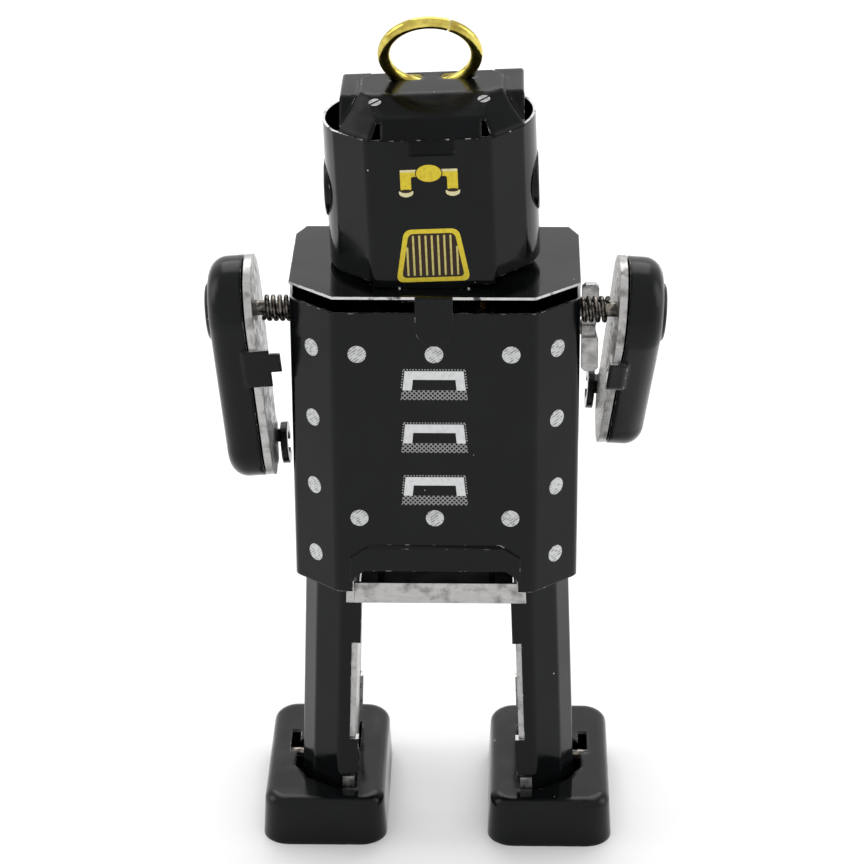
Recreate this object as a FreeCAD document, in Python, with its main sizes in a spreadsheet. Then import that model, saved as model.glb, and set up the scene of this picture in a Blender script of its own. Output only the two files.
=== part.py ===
import FreeCAD, Part
import Sketcher
import math
import os

from FreeCAD import Placement, Rotation, Vector

# A small tin wind-up walking robot.  It faces -Y and stands on Z = 0; +X is its left.
# Lengths are in millimetres, angles in degrees.

os.makedirs("parts", exist_ok=True)
doc = FreeCAD.newDocument("WindUpRobot")
dims = doc.addObject("Spreadsheet::Sheet", "Dims")
AXIS = {"X": Vector(1, 0, 0), "Y": Vector(0, 1, 0), "Z": Vector(0, 0, 1)}
nodes = []


# ---------------------------------------------------------------- driving dimensions

class Size:
    """A length or angle: its number, and the spreadsheet expression that gives it."""

    def __init__(self, number, text):
        self.number = number
        self.text = text

    def __add__(self, other):
        other = size(other)
        return Size(self.number + other.number, f"({self.text} + {other.text})")

    def __sub__(self, other):
        other = size(other)
        return Size(self.number - other.number, f"({self.text} - {other.text})")

    def __mul__(self, other):
        other = size(other)
        return Size(self.number * other.number, f"({self.text} * {other.text})")

    def __truediv__(self, other):
        other = size(other)
        return Size(self.number / other.number, f"({self.text} / {other.text})")

    def __neg__(self):
        return Size(-self.number, f"(0 - {self.text})")

    def __radd__(self, other):
        return size(other) + self

    def __rsub__(self, other):
        return size(other) - self

    def __rmul__(self, other):
        return size(other) * self


def size(value):
    """A plain number or a Size, as a Size."""
    if isinstance(value, Size):
        return value
    return Size(float(value), f"({float(value):.6f})")


def dimension(alias, value, meaning):
    """One row of the spreadsheet: a driving dimension with its alias and meaning."""
    dimension.row += 1
    dims.set(f"A{dimension.row}", meaning)
    dims.set(f"B{dimension.row}", str(value))
    dims.setAlias(f"B{dimension.row}", alias)
    return Size(float(value), f"Dims.{alias}")


dimension.row = 0

tin = dimension("tin", 0.25, "sheet thickness of the printed tin")
plate_tin = dimension("plate_tin", 0.3, "sheet thickness of the bare tin plates")
gap = dimension("gap", 0.05, "radial running clearance of pins in holes")
seat = dimension("seat", 0.02, "clearance between plates that lie together")
middle = dimension("middle", 1.567, "Y of the plane through the hip axle")

torso_half = dimension("torso_half", 13.2, "torso half width")
torso_back = dimension("torso_back", 8.75, "torso back wall, behind the middle plane")
torso_front = dimension("torso_front", 8.25, "torso front wall, ahead of the middle plane")
chamfer_x = dimension("chamfer_x", 4.1, "width of a back corner chamfer")
chamfer_y = dimension("chamfer_y", 3.6, "depth of a back corner chamfer")
front_x = dimension("front_x", 0.9, "width of a front corner chamfer")
front_y = dimension("front_y", 2.0, "depth of a front corner chamfer")
torso_low = dimension("torso_low", 27.8, "height of the torso's bottom edge")
torso_rim = dimension("torso_rim", 56.0, "height of the back wall's top edge")
plate_top = dimension("plate_top", 57.6, "height of the shoulder plate's top")
arch_half = dimension("arch_half", 7.7, "half width of the arch between the legs")
arch_high = dimension("arch_high", 30.1, "height of the arch's edge")
crease_high = dimension("crease_high", 32.7, "height of the crease above the arch")
fold = dimension("fold", 1.1, "radius of a fold in the torso and head walls")
lap = dimension("lap", 1.4, "from the back chamfers forward to the seam of the two shells")
tab_half = dimension("tab_half", 1.7, "half width of the shoulder plate's tabs")
tab_drop = dimension("tab_drop", 3.0, "straight part of the back tab, below the plate")

head_flat = dimension("head_flat", 5.45, "half width of the head's flat back")
head_half = dimension("head_half", 8.45, "half width of the head at its corners")
head_back = dimension("head_back", 6.85, "head's back, behind the middle plane")
head_side = dimension("head_side", 4.0, "half length of the head's curved sides")
head_bulge = dimension("head_bulge", 1.15, "bulge of the head's curved sides")
head_high = dimension("head_high", 14.3, "height of the head's walls")
ear_high = dimension("ear_high", 7.6, "height of the ear discs' centres")
ear_round = dimension("ear_round", 2.7, "radius of the ear discs")
ear_proud = dimension("ear_proud", 0.1, "how far the ear discs stand out of the head's sides")
head_lean = dimension("head_lean", 2.2, "lean of the head towards +X, degrees")
cap_high = dimension("cap_high", 2.85, "rise of the cap above the head's walls")
cap_aside = dimension("cap_aside", 0.35, "cap and ring, towards -X from the head's middle")
cap_x = dimension("cap_x", 8.3, "half width of the cap's rim")
cap_y = dimension("cap_y", 7.25, "half length of the cap's rim")
cap_fold = dimension("cap_fold", 1.5, "height of the fold in the cap's slopes")
shelf_drop = dimension("shelf_drop", 0.65, "cap's side shelves, below its flat top")
shelf_front = dimension("shelf_front", 4.9, "front end of the shelves, ahead of the middle")
shelf_back = dimension("shelf_back", 3.3, "back end of the shelves, behind the middle")
ring_lean = dimension("ring_lean", 30, "lean of the hanging ring to the back, degrees")
ring_mean = dimension("ring_mean", 4.15, "mean radius of the hanging ring")
ring_wire = dimension("ring_wire", 0.55, "wire radius of the hanging ring")
ring_hole = dimension("ring_hole", 2.6, "ring hole, to the side of the centre")
ring_ahead = dimension("ring_ahead", 1.55, "ring holes, ahead of the middle plane")

shoulder_y = dimension("shoulder_y", 1.25, "shoulder pin, behind the middle plane")
shoulder_z = dimension("shoulder_z", 53.3, "height of the shoulder pin")
arm_x = dimension("arm_x", 16.4, "inner face of the arm's plate")
arm_thick = dimension("arm_thick", 4.2, "thickness of the arm")
arm_rim = dimension("arm_rim", 0.7, "depth of the arm plate's rim")
arm_gap = dimension("arm_gap", 0.2, "gap between the arm plate's rim and the shell")
arm_brow = dimension("arm_brow", 1.8, "radius round the arm's outer face")
wrist_high = dimension("wrist_high", 1.15, "outer side of the claw")
arm_lean = dimension("arm_lean", 4.6, "lean of each arm inwards, degrees")
arm_round = dimension("arm_round", 5.0, "radius of the shoulder")
elbow_y = dimension("elbow_y", 0.7, "elbow centre, ahead of the shoulder pin")
elbow_z = dimension("elbow_z", 13.0, "elbow centre, below the shoulder pin")
elbow_round = dimension("elbow_round", 4.0, "radius of the elbow")
right_swing = dimension("right_swing", 22, "forward swing of the right arm, degrees")

hip_z = dimension("hip_z", 32.0, "height of the hip axle")
leg_x = dimension("leg_x", 7.1, "inner face of the leg at the hip")
leg_wide = dimension("leg_wide", 5.2, "leg width")
leg_half = dimension("leg_half", 5.75, "half of the leg's depth")
leg_low = dimension("leg_low", 1.4, "height of the leg's lower end")
leg_splay = dimension("leg_splay", 2.0, "splay of each leg, degrees")
leg_gap = dimension("leg_gap", 0.55, "width of the slot that shows the leg's plate")
foot_x = dimension("foot_x", 10.9, "middle of the foot")
foot_half = dimension("foot_half", 6.0, "half of the foot's width")
foot_heel = dimension("foot_heel", 8.9, "heel, behind the middle plane")
foot_toe = dimension("foot_toe", 10.75, "toe, ahead of the middle plane")
foot_high = dimension("foot_high", 4.8, "height of the foot")
foot_corner = dimension("foot_corner", 2.6, "radius of the foot's corners")
foot_brow = dimension("foot_brow", 1.0, "radius round the foot's top")
sole_tin = dimension("sole_tin", 0.25, "sheet thickness of the sole")
ankle_y = dimension("ankle_y", 2.25, "ankle pin, ahead of the middle plane")
ankle_z = dimension("ankle_z", 3.7, "height of the ankle pin")

module = dimension("module", 0.35, "gear module")
wheel_teeth = dimension("wheel_teeth", 24, "teeth on each large wheel")
pinion_teeth = dimension("pinion_teeth", 10, "teeth on each pinion")
frame_x = dimension("frame_x", 5.0, "inner face of each motor plate")
key_y = dimension("key_y", 3.15, "key axis, ahead of the middle plane")
key_z = dimension("key_z", 49.6, "height of the key axis")
key_reach = dimension("key_reach", 4.4, "radius swept by the key")
throw = dimension("throw", 0.6, "throw of the cranks")

pillar_neck = dimension("pillar_neck", 0.4, "radius of a motor pillar's ends")
pillar_round = dimension("pillar_round", 0.65, "radius of a motor pillar")
arbor_round = dimension("arbor_round", 0.4, "radius of the gear arbors")
key_shaft = dimension("key_shaft", 0.7, "radius of the winding arbor")
axle_round = dimension("axle_round", 0.6, "radius of the hip axle")
shoulder_pin = dimension("shoulder_pin", 0.7, "radius of a shoulder pin")
ankle_pin_round = dimension("ankle_pin_round", 0.45, "radius of an ankle pin")
doc.recompute()


# ---------------------------------------------------------------- modelling helpers

def new_body(label, placement=None):
    """An empty PartDesign body that becomes one node of the robot."""
    body = doc.addObject("PartDesign::Body", label)
    body.Label = label
    if placement is not None:
        body.Placement = placement
    nodes.append(body)
    return body


def move_to(body, x, y, z):
    """Tie the body's position to the spreadsheet."""
    for name, value in zip("xyz", (x, y, z)):
        body.setExpression(f".Placement.Base.{name}", size(value).text)


def add_segment(sketch, start, end, centre):
    """A straight segment, or an arc about a centre that turns anticlockwise."""
    first = Vector(start[0].number, start[1].number, 0)
    last = Vector(end[0].number, end[1].number, 0)
    if centre is None:
        return sketch.addGeometry(Part.LineSegment(first, last))
    hub = Vector(centre[0].number, centre[1].number, 0)
    angle = math.atan2(first.y - hub.y, first.x - hub.x)
    final = math.atan2(last.y - hub.y, last.x - hub.x)
    if final < angle:
        final += 2 * math.pi
    circle = Part.Circle(hub, AXIS["Z"], (first - hub).Length)
    return sketch.addGeometry(Part.ArcOfCircle(circle, angle, final))


def tie(sketch, kind, element, point, value):
    """Hold one coordinate of a sketch point at a value from the spreadsheet."""
    index = sketch.addConstraint(Sketcher.Constraint(kind, -1, 1, element, point, value.number))
    sketch.setExpression(f"Constraints[{index}]", value.text)


def add_loop(sketch, loop):
    """A closed outline: (u, v) corners; (u, v, (cu, cv)) starts an arc about (cu, cv)."""
    corners = [(size(corner[0]), size(corner[1])) for corner in loop]
    centres = [None] * len(loop)
    for place, corner in enumerate(loop):
        if len(corner) > 2:
            centres[place] = (size(corner[2][0]), size(corner[2][1]))
    count = len(loop)
    elements = []
    for place in range(count):
        following = corners[(place + 1) % count]
        elements.append(add_segment(sketch, corners[place], following, centres[place]))
    for place, element in enumerate(elements):
        following = elements[(place + 1) % count]
        sketch.addConstraint(Sketcher.Constraint("Coincident", element, 2, following, 1))
        tie(sketch, "DistanceX", element, 1, corners[place][0])
        tie(sketch, "DistanceY", element, 1, corners[place][1])
        if centres[place] is not None:
            along, up = corners[(place + 1) % count]
            wide = abs(along.number - corners[place][0].number)
            tall = abs(up.number - corners[place][1].number)
            if wide > tall:
                tie(sketch, "DistanceY", element, 3, centres[place][1])
            else:
                tie(sketch, "DistanceX", element, 3, centres[place][0])


def add_circle(sketch, circle):
    """A circle given as (u, v, radius)."""
    u, v, radius = (size(value) for value in circle)
    ring = Part.Circle(Vector(u.number, v.number, 0), AXIS["Z"], radius.number)
    element = sketch.addGeometry(ring)
    tie(sketch, "DistanceX", element, 3, u)
    tie(sketch, "DistanceY", element, 3, v)
    index = sketch.addConstraint(Sketcher.Constraint("Radius", element, radius.number))
    sketch.setExpression(f"Constraints[{index}]", radius.text)


def add_sketch(body, plane, level, loops, circles):
    """A sketch on one of the body's origin planes, moved to a level along its axis."""
    sketch = body.newObject("Sketcher::SketchObject", f"{body.Label}_outline")
    role = f"{plane}_Plane"
    support = next(item for item in body.Origin.OriginFeatures if item.Role == role)
    sketch.AttachmentSupport = [(support, "")]
    sketch.MapMode = "FlatFace"
    offset = -level if plane == "XZ" else level
    sketch.setExpression("AttachmentOffset.Base.z", offset.text)
    for loop in loops:
        add_loop(sketch, loop)
    for circle in circles:
        add_circle(sketch, circle)
    sketch.Visibility = False
    return sketch


def pad(body, plane, low, high, loops=(), circles=(), taper=0):
    """Material between two levels along the axis that the plane is square to."""
    low, high = size(low), size(high)
    level = high if plane == "XZ" else low
    sketch = add_sketch(body, plane, level, loops, circles)
    feature = body.newObject("PartDesign::Pad", f"{body.Label}_pad")
    feature.Profile = sketch
    feature.setExpression("Length", (high - low).text)
    feature.TaperAngle = taper
    body.Tip = feature
    return feature


def pocket(body, plane, low, high, loops=(), circles=(), upwards=False):
    """A cut between two levels along the axis that the plane is square to."""
    doc.recompute()
    before = body.Tip.Shape.Volume
    low, high = size(low), size(high)
    level = low if plane == "XZ" or upwards else high
    sketch = add_sketch(body, plane, level, loops, circles)
    feature = body.newObject("PartDesign::Pocket", f"{body.Label}_pocket")
    feature.Profile = sketch
    feature.setExpression("Length", (high - low).text)
    feature.Reversed = upwards
    body.Tip = feature
    doc.recompute()
    if not feature.Shape.Volume < before:
        raise RuntimeError(f"a pocket in {body.Label} removes nothing")
    return feature


def round_edges(body, radius, wanted):
    """Fillet the edges of the body so far that the wanted test picks."""
    doc.recompute()
    base = body.Tip
    picked = [f"Edge{i + 1}" for i, edge in enumerate(base.Shape.Edges) if wanted(edge)]
    feature = body.newObject("PartDesign::Fillet", f"{body.Label}_round")
    feature.Base = (base, picked)
    feature.setExpression("Radius", size(radius).text)
    body.Tip = feature
    return feature


def hollow(body, thickness, opened):
    """Turn the solid into sheet metal: walls inwards, without the faces opened picks."""
    doc.recompute()
    base = body.Tip
    faces = [f"Face{i + 1}" for i, face in enumerate(base.Shape.Faces) if opened(face)]
    feature = body.newObject("PartDesign::Thickness", f"{body.Label}_walls")
    feature.Base = (base, faces)
    feature.setExpression("Value", size(thickness).text)
    feature.Reversed = True
    feature.Join = "Intersection"
    body.Tip = feature
    return feature


def runs_along(edge, axis):
    """True for a straight edge parallel to the named axis."""
    if not isinstance(edge.Curve, Part.Line):
        return False
    span = edge.Vertexes[-1].Point - edge.Vertexes[0].Point
    return span.normalize().cross(AXIS[axis]).Length < 1e-4


def faces_way(face, direction):
    """True for a flat face whose outward side looks along the direction."""
    if not isinstance(face.Surface, Part.Plane):
        return False
    return (face.normalAt(0, 0) - direction).Length < 1e-4


def rectangle(u_low, u_high, v_low, v_high):
    return [(u_low, v_low), (u_high, v_low), (u_high, v_high), (u_low, v_high)]


def rounded(u_low, u_high, v_low, v_high, radius):
    """A rectangle with round corners, starting each corner with its arc."""
    left, right = u_low + radius, u_high - radius
    bottom, top = v_low + radius, v_high - radius
    return [(left, v_low), (right, v_low, (right, bottom)), (u_high, bottom),
            (u_high, top, (right, top)), (right, v_high), (left, v_high, (left, top)),
            (u_low, top), (u_low, bottom, (left, bottom))]


# ---------------------------------------------------------------- torso and motor frame

def in_torso(label):
    """A body whose own Y starts at the middle plane."""
    body = new_body(label)
    move_to(body, 0, middle, 0)
    return body


def back_outline():
    """Plan of the torso's back corners, from +X to -X."""
    flat = torso_half - chamfer_x
    side = torso_back - chamfer_y
    return [(torso_half, side), (flat, torso_back), (-flat, torso_back), (-torso_half, side)]


def front_outline():
    """Plan of the torso's front corners, from -X to +X."""
    flat = torso_half - front_x
    side = front_y - torso_front
    return [(-torso_half, side), (-flat, -torso_front), (flat, -torso_front), (torso_half, side)]


seam = torso_back - chamfer_y - lap


def back_shell():
    """The back half of the torso: chamfered corners, an arch between the legs, a crease."""
    body = in_torso("torso_back_shell")
    corners = back_outline()
    outline = [(torso_half, seam)] + corners + [(-torso_half, seam)]
    pad(body, "XY", torso_low, torso_rim, [outline])
    folds = {round(abs(corner[0].number), 3) for corner in corners}
    level = torso_back.number - chamfer_y.number - 0.1

    def is_fold(edge):
        middle_point = edge.CenterOfMass
        return (runs_along(edge, "Z") and middle_point.y > level
                and round(abs(middle_point.x), 3) in folds)

    round_edges(body, fold, is_fold)
    hollow(body, tin, lambda face: faces_way(face, AXIS["Z"])
           or faces_way(face, -AXIS["Z"]) or faces_way(face, -AXIS["Y"]))
    cut = 1.1                           # corner cut of the arch
    shoulder = arch_high - cut
    arch = [(-arch_half, torso_low - 1), (arch_half, torso_low - 1), (arch_half, shoulder),
            (arch_half - cut, arch_high), (cut - arch_half, arch_high), (-arch_half, shoulder)]
    pocket(body, "XZ", torso_back - 2, torso_back + 1, [arch])
    proud, slope_x, slope_z = 0.3, 1.9, 1.3
    edge_x, edge_z = arch_half + 0.2, crease_high - slope_z
    lip = [(-edge_x, shoulder), (cut - arch_half, arch_high), (arch_half - cut, arch_high),
           (edge_x, shoulder), (edge_x, edge_z), (edge_x - slope_x, crease_high),
           (slope_x - edge_x, crease_high), (-edge_x, edge_z)]
    pad(body, "XZ", torso_back - tin, torso_back + proud, [lip])

    def is_crease(edge):
        point = edge.CenterOfMass
        return (abs(point.y - torso_back.number - proud) < 1e-3
                and point.z > edge_z.number + slope_z / 2)

    doc.recompute()
    base = body.Tip
    picked = [f"Edge{i + 1}" for i, edge in enumerate(base.Shape.Edges) if is_crease(edge)]
    slope = body.newObject("PartDesign::Chamfer", "torso_back_shell_crease")
    slope.Base = (base, picked)
    slope.Size = proud - 0.02
    body.Tip = slope


def front_shell():
    """The front half of the torso, with holes for the shoulder pins and the key."""
    body = in_torso("torso_front_shell")
    corners = front_outline()
    outline = [(-torso_half, seam)] + corners + [(torso_half, seam)]
    pad(body, "XY", torso_low, plate_top - tin, [outline])
    round_edges(body, 0.6, lambda edge: runs_along(edge, "Z")
                and edge.CenterOfMass.y < seam.number - 0.1)
    hollow(body, tin, lambda face: faces_way(face, AXIS["Z"])
           or faces_way(face, -AXIS["Z"]) or faces_way(face, AXIS["Y"]))
    arch = rectangle(-arch_half, arch_half, torso_low - 1, arch_high)
    pocket(body, "XZ", -torso_front - 1, 1 - torso_front, [arch])
    pin_hole = (shoulder_y, shoulder_z, shoulder_pin + gap)
    pocket(body, "YZ", -torso_half - 1, torso_half + 1, circles=[pin_hole])
    key_hole = (-key_y, key_z, key_shaft + 0.3)
    pocket(body, "YZ", -torso_half - 1, -torso_half + 1, circles=[key_hole])


head_tab = size(3.0)                    # half width of the tabs under the head


def shoulder_plate():
    """The lid of the torso: tabs bent down before and behind, slots for the head's tabs."""
    body = in_torso("shoulder_plate")
    under = plate_top - tin
    pad(body, "XY", under, plate_top, [front_outline() + back_outline()])
    back, front = torso_back + tin, -torso_front - tin
    tongues = [rectangle(-tab_half, tab_half, torso_back - 0.5, back),
               rectangle(-tab_half, tab_half, front, 0.5 - torso_front)]
    for tongue in tongues:
        pad(body, "XY", under, plate_top, [tongue])
    low = plate_top - tab_drop
    hanging = [(-tab_half, plate_top), (-tab_half, low, (0, low)), (tab_half, low),
               (tab_half, plate_top)]
    pad(body, "XZ", torso_back, back, [hanging])
    front_tab = rectangle(-tab_half, tab_half, plate_top - 2, plate_top)
    pad(body, "XZ", front, -torso_front, [front_tab])
    slots = [rectangle(-head_tab - 0.2, head_tab + 0.2,
                       *sorted_span(side * (head_back - tin - 0.15), side * (head_back + 0.12)))
             for side in (1, -1)]
    pocket(body, "XY", plate_top - 1, plate_top + 1, slots)
    round_edges(body, 0.2, lambda edge: runs_along(edge, "X")
                and abs(edge.CenterOfMass.z - plate_top.number) < 1e-3
                and abs(edge.CenterOfMass.y - back.number) < 1e-3)


base_low = torso_low - 2.2
base_top = base_low + plate_tin


def base_plate():
    """The bottom of the motor frame: a web with a flange before and behind."""
    body = in_torso("base_plate")
    high = torso_low - 0.1
    web_half = leg_x + 0.12
    back, front = torso_back - 1.85, 1.4 - torso_front
    pad(body, "XY", base_low, base_top, [rectangle(-web_half, web_half, front, back)])
    flange = rectangle(-arch_half, arch_half, base_low, high)
    pad(body, "XZ", back - plate_tin, back, [flange])
    pad(body, "XZ", front, front + plate_tin, [flange])
    for side in (1, -1):
        ear = sorted_span(side * (arch_half + 0.15), side * (arch_half - 0.1))
        foot = sorted_span(side * (arch_half + 0.5), side * (arch_half - 0.1))
        wall = torso_back - tin
        pad(body, "XY", high - 1.2, high, [rectangle(*ear, back - plate_tin, wall)])
        pad(body, "XY", high - 0.6, torso_low + 1.0,
            [rectangle(*foot, wall - plate_tin, wall)])


def sorted_span(first, second):
    """Two sizes, the lower one first."""
    first, second = size(first), size(second)
    return (first, second) if first.number < second.number else (second, first)


def motor_plate(side):
    name = "left" if side > 0 else "right"
    body = in_torso(f"{name}_motor_plate")
    inner, outer = sorted_span(side * frame_x, side * (frame_x + 0.5))
    low = base_top
    outline = [(-5.9, low), (5.4, low), (5.4, 50.0), (2.6, 54.2), (-5.2, 54.2), (-6.9, 51.0),
               (-6.9, 34.0), (-5.9, 31.0)]
    pad(body, "YZ", inner, outer, [outline])
    round_edges(body, 0.6, lambda edge: runs_along(edge, "X")
                and edge.CenterOfMass.z > low.number + 1)
    for y, z, radius in bearing_holes():
        pocket(body, "YZ", inner - 1, outer + 1, circles=[(y, z, radius)])
    for y, z in pillar_places():
        pocket(body, "YZ", inner - 1, outer + 1, circles=[(y, z, pillar_neck)])


def pillar_places():
    return [(size(4.2), size(51.3)), (size(4.3), size(35.0)), (size(-5.5), size(34.6))]


def pitch_radius(teeth):
    return module * teeth / 2


centres = (wheel_teeth + pinion_teeth) * module / 2


def below(distance, across):
    """How far down the next arbor lies when it is set across by this much."""
    drop = math.sqrt(distance.number ** 2 - across ** 2)
    return Size(drop, f"sqrt({distance.text} ^ 2 - {across} ^ 2)")


# Arbors, as (Y from the middle plane, Z): each train pair is one centre distance apart.
key_arbor = (-key_y, key_z)
second_arbor = (key_arbor[0] + 3.75, key_arbor[1] - below(centres, 3.75))
crank_arbor = (size(0), second_arbor[1] - below(centres, 0.6))
escape_arbor = (size(-4.25), crank_arbor[1] + below(centres, 4.25))
pallet_arbor = (size(-5.9), escape_arbor[1] - 3.6)
hip = (size(0), hip_z)


def bearing_holes():
    """Every hole a turning arbor has in both motor plates: Y, Z and radius."""
    holes = [(*place, arbor_round + gap)
             for place in (second_arbor, crank_arbor, escape_arbor, pallet_arbor)]
    holes.append((*key_arbor, key_shaft + gap))
    holes.append((*hip, axle_round))
    return holes


def rod(label, place, radius, low, high):
    """A round rod along X at (Y, Z)."""
    body = in_torso(label)
    pad(body, "YZ", low, high, circles=[(*place, radius)])
    return body


def pillars():
    """Three stepped spacers between the motor plates, in one node."""
    pieces = []
    for number, place in enumerate(pillar_places(), 1):
        body = doc.addObject("PartDesign::Body", f"pillar_{number}")
        move_to(body, 0, middle, 0)
        pad(body, "YZ", -frame_x, frame_x, circles=[(*place, pillar_round)])
        pad(body, "YZ", -frame_x - 0.9, frame_x + 0.9, circles=[(*place, pillar_neck)])
        pieces.append(body)
    group = doc.addObject("Part::Compound", "motor_pillars")
    group.Links = pieces
    group.Label = "motor_pillars"
    nodes.append(group)


# ---------------------------------------------------------------- gears

def gear(label, teeth, place, phase, low, high, hub):
    """A toothed wheel on X; the phase is the angle of its first tooth from +Y."""
    body = new_body(label)
    body.Placement = Placement(Vector(), Rotation(AXIS["X"], phase))
    move_to(body, 0, middle + place[0], place[1])
    root = pitch_radius(teeth) - module * 0.9
    tip = pitch_radius(teeth) + module * 0.65
    foot, head = module * 0.62, module * 0.26
    pad(body, "YZ", low, high, circles=[(0, 0, root)])
    tooth = [(root - 0.15, -foot), (tip, -head), (tip, head), (root - 0.15, foot)]
    first = pad(body, "YZ", low, high, [tooth])
    pattern = body.newObject("PartDesign::PolarPattern", f"{label}_teeth")
    pattern.Originals = [first]
    line = next(item for item in body.Origin.OriginFeatures if item.Role == "X_Axis")
    pattern.Axis = (line, [""])
    pattern.Angle = 360
    pattern.setExpression("Occurrences", teeth.text)
    body.Tip = pattern
    if hub is not None:
        pocket(body, "YZ", size(low) - 1, size(high) + 1, circles=[(0, 0, hub)])
    return body


def toward(start, end):
    """Angle in the YZ plane from one arbor to another, degrees."""
    across = end[0].number - start[0].number
    up = end[1].number - start[1].number
    return math.degrees(math.atan2(up, across))


def gap_phase(start, end, teeth):
    """Phase that turns a tooth gap of the wheel at end towards the wheel at start."""
    return toward(end, start) + 180 / teeth.number


def gear_train():
    shaft = arbor_round
    reach = frame_x + 0.45
    gear("great_wheel", wheel_teeth, key_arbor, toward(key_arbor, second_arbor),
         -4.6, -4.1, key_shaft)
    pinion = gear("second_pinion", pinion_teeth, second_arbor,
                  gap_phase(key_arbor, second_arbor, pinion_teeth), -4.8, -3.9, None)
    pad(pinion, "YZ", -reach, reach, circles=[(0, 0, shaft)])
    gear("second_wheel", wheel_teeth, second_arbor, toward(second_arbor, crank_arbor),
         3.4, 3.9, shaft)
    pinion = gear("crank_shaft", pinion_teeth, crank_arbor,
                  gap_phase(second_arbor, crank_arbor, pinion_teeth), 3.2, 4.1, None)
    pad(pinion, "YZ", -reach - 0.4, reach + 0.4, circles=[(0, 0, shaft)])
    gear("crank_wheel", wheel_teeth, crank_arbor, toward(crank_arbor, escape_arbor),
         -2.4, -1.9, shaft)
    pinion = gear("escape_pinion", pinion_teeth, escape_arbor,
                  gap_phase(crank_arbor, escape_arbor, pinion_teeth), -2.6, -1.7, None)
    pad(pinion, "YZ", -reach, reach, circles=[(0, 0, shaft)])


def escapement():
    wheel = new_body("escape_wheel")
    move_to(wheel, 0, middle + escape_arbor[0], escape_arbor[1])
    teeth = size(12)
    pad(wheel, "YZ", 0.6, 1.0, circles=[(0, 0, 1.6)])
    first = pad(wheel, "YZ", 0.6, 1.0, [[(1.3, -0.35), (2.3, 0.1), (2.3, 0.22), (1.3, 0.3)]])
    pattern = wheel.newObject("PartDesign::PolarPattern", "escape_wheel_teeth")
    pattern.Originals = [first]
    line = next(item for item in wheel.Origin.OriginFeatures if item.Role == "X_Axis")
    pattern.Axis = (line, [""])
    pattern.Angle = 360
    pattern.setExpression("Occurrences", teeth.text)
    wheel.Tip = pattern
    pocket(wheel, "YZ", 0, 2, circles=[(0, 0, arbor_round)])
    pallet = in_torso("pallet")
    y, z = pallet_arbor
    pad(pallet, "YZ", -frame_x - 0.45, frame_x + 0.45, circles=[(y, z, arbor_round)])
    anchor = [(y - 1.5, z - 0.9), (y + 1.9, z - 0.9), (y + 2.6, z + 0.9), (y + 1.6, z + 0.4),
              (y - 1.1, z + 0.4), (y - 1.6, z + 0.7)]
    pad(pallet, "YZ", 0.4, 1.2, [anchor])


def crank(side):
    name = "left" if side > 0 else "right"
    body = in_torso(f"{name}_crank")
    y, z = crank_arbor
    face = frame_x + 0.5 + 0.1
    low, high = sorted_span(side * face, side * (face + 0.4))
    pad(body, "YZ", low, high, circles=[(y, z, 1.3)])
    pocket(body, "YZ", low - 0.1, high + 0.1, circles=[(y, z, arbor_round)])
    low, high = sorted_span(side * (face + 0.4), side * (face + 1.7))
    pad(body, "YZ", low, high, circles=[(y, z + side * throw, 0.3)])


# ---------------------------------------------------------------- spring, ratchet and key

def mainspring():
    """A flat spiral ribbon whose outer end runs straight to a hook round a pillar."""
    turns, steps = 4.75, 120
    inner, pitch, ribbon, width = 1.2, 0.5, 0.14, 3.6
    outer = inner + pitch * turns

    def spiral(shift):
        points = []
        for step in range(steps + 1):
            angle = -2 * math.pi * turns * step / steps
            radius = inner + pitch * turns * step / steps + shift
            points.append(Vector(0, radius * math.cos(angle), radius * math.sin(angle)))
        curve = Part.BSplineCurve()
        curve.interpolate(points)
        return curve.toShape()

    low, high = spiral(0), spiral(ribbon)
    ends = [Part.makeLine(low.Vertexes[i].Point, high.Vertexes[i].Point) for i in (0, -1)]
    face = Part.Face(Part.Wire(Part.__sortEdges__([low, high] + ends)))
    coil = face.extrude(Vector(width, 0, 0))

    pillar_y, pillar_z = pillar_places()[0]
    post = Vector(0, pillar_y.number - key_arbor[0].number, pillar_z.number - key_arbor[1].number)
    hook_inner = pillar_round.number + 0.1
    tail_start = Vector(0, 0, outer + ribbon / 2)
    away = post - tail_start
    reach = math.sqrt(away.Length ** 2 - (hook_inner + ribbon / 2) ** 2)
    rise = math.atan2(away.z, away.y) + math.atan2(hook_inner + ribbon / 2, reach)
    tail = Part.makeBox(width, reach, ribbon, Vector(0, 0, -ribbon / 2))
    tail.rotate(Vector(), AXIS["X"], math.degrees(rise))
    tail.translate(tail_start)
    hook = Part.makeCylinder(hook_inner + ribbon, width, post, AXIS["X"], 200)
    hook = hook.cut(Part.makeCylinder(hook_inner, width, post, AXIS["X"]))
    hook.rotate(post, AXIS["X"], math.degrees(rise) + 90 - 200)

    node = doc.addObject("Part::Feature", "mainspring")
    node.Shape = coil.fuse([tail, hook])
    node.Label = "mainspring"
    node.Placement = Placement(Vector(-2.6, 0, 0), Rotation())
    node.setExpression(".Placement.Base.y", (middle + key_arbor[0]).text)
    node.setExpression(".Placement.Base.z", key_arbor[1].text)
    nodes.append(node)


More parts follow.
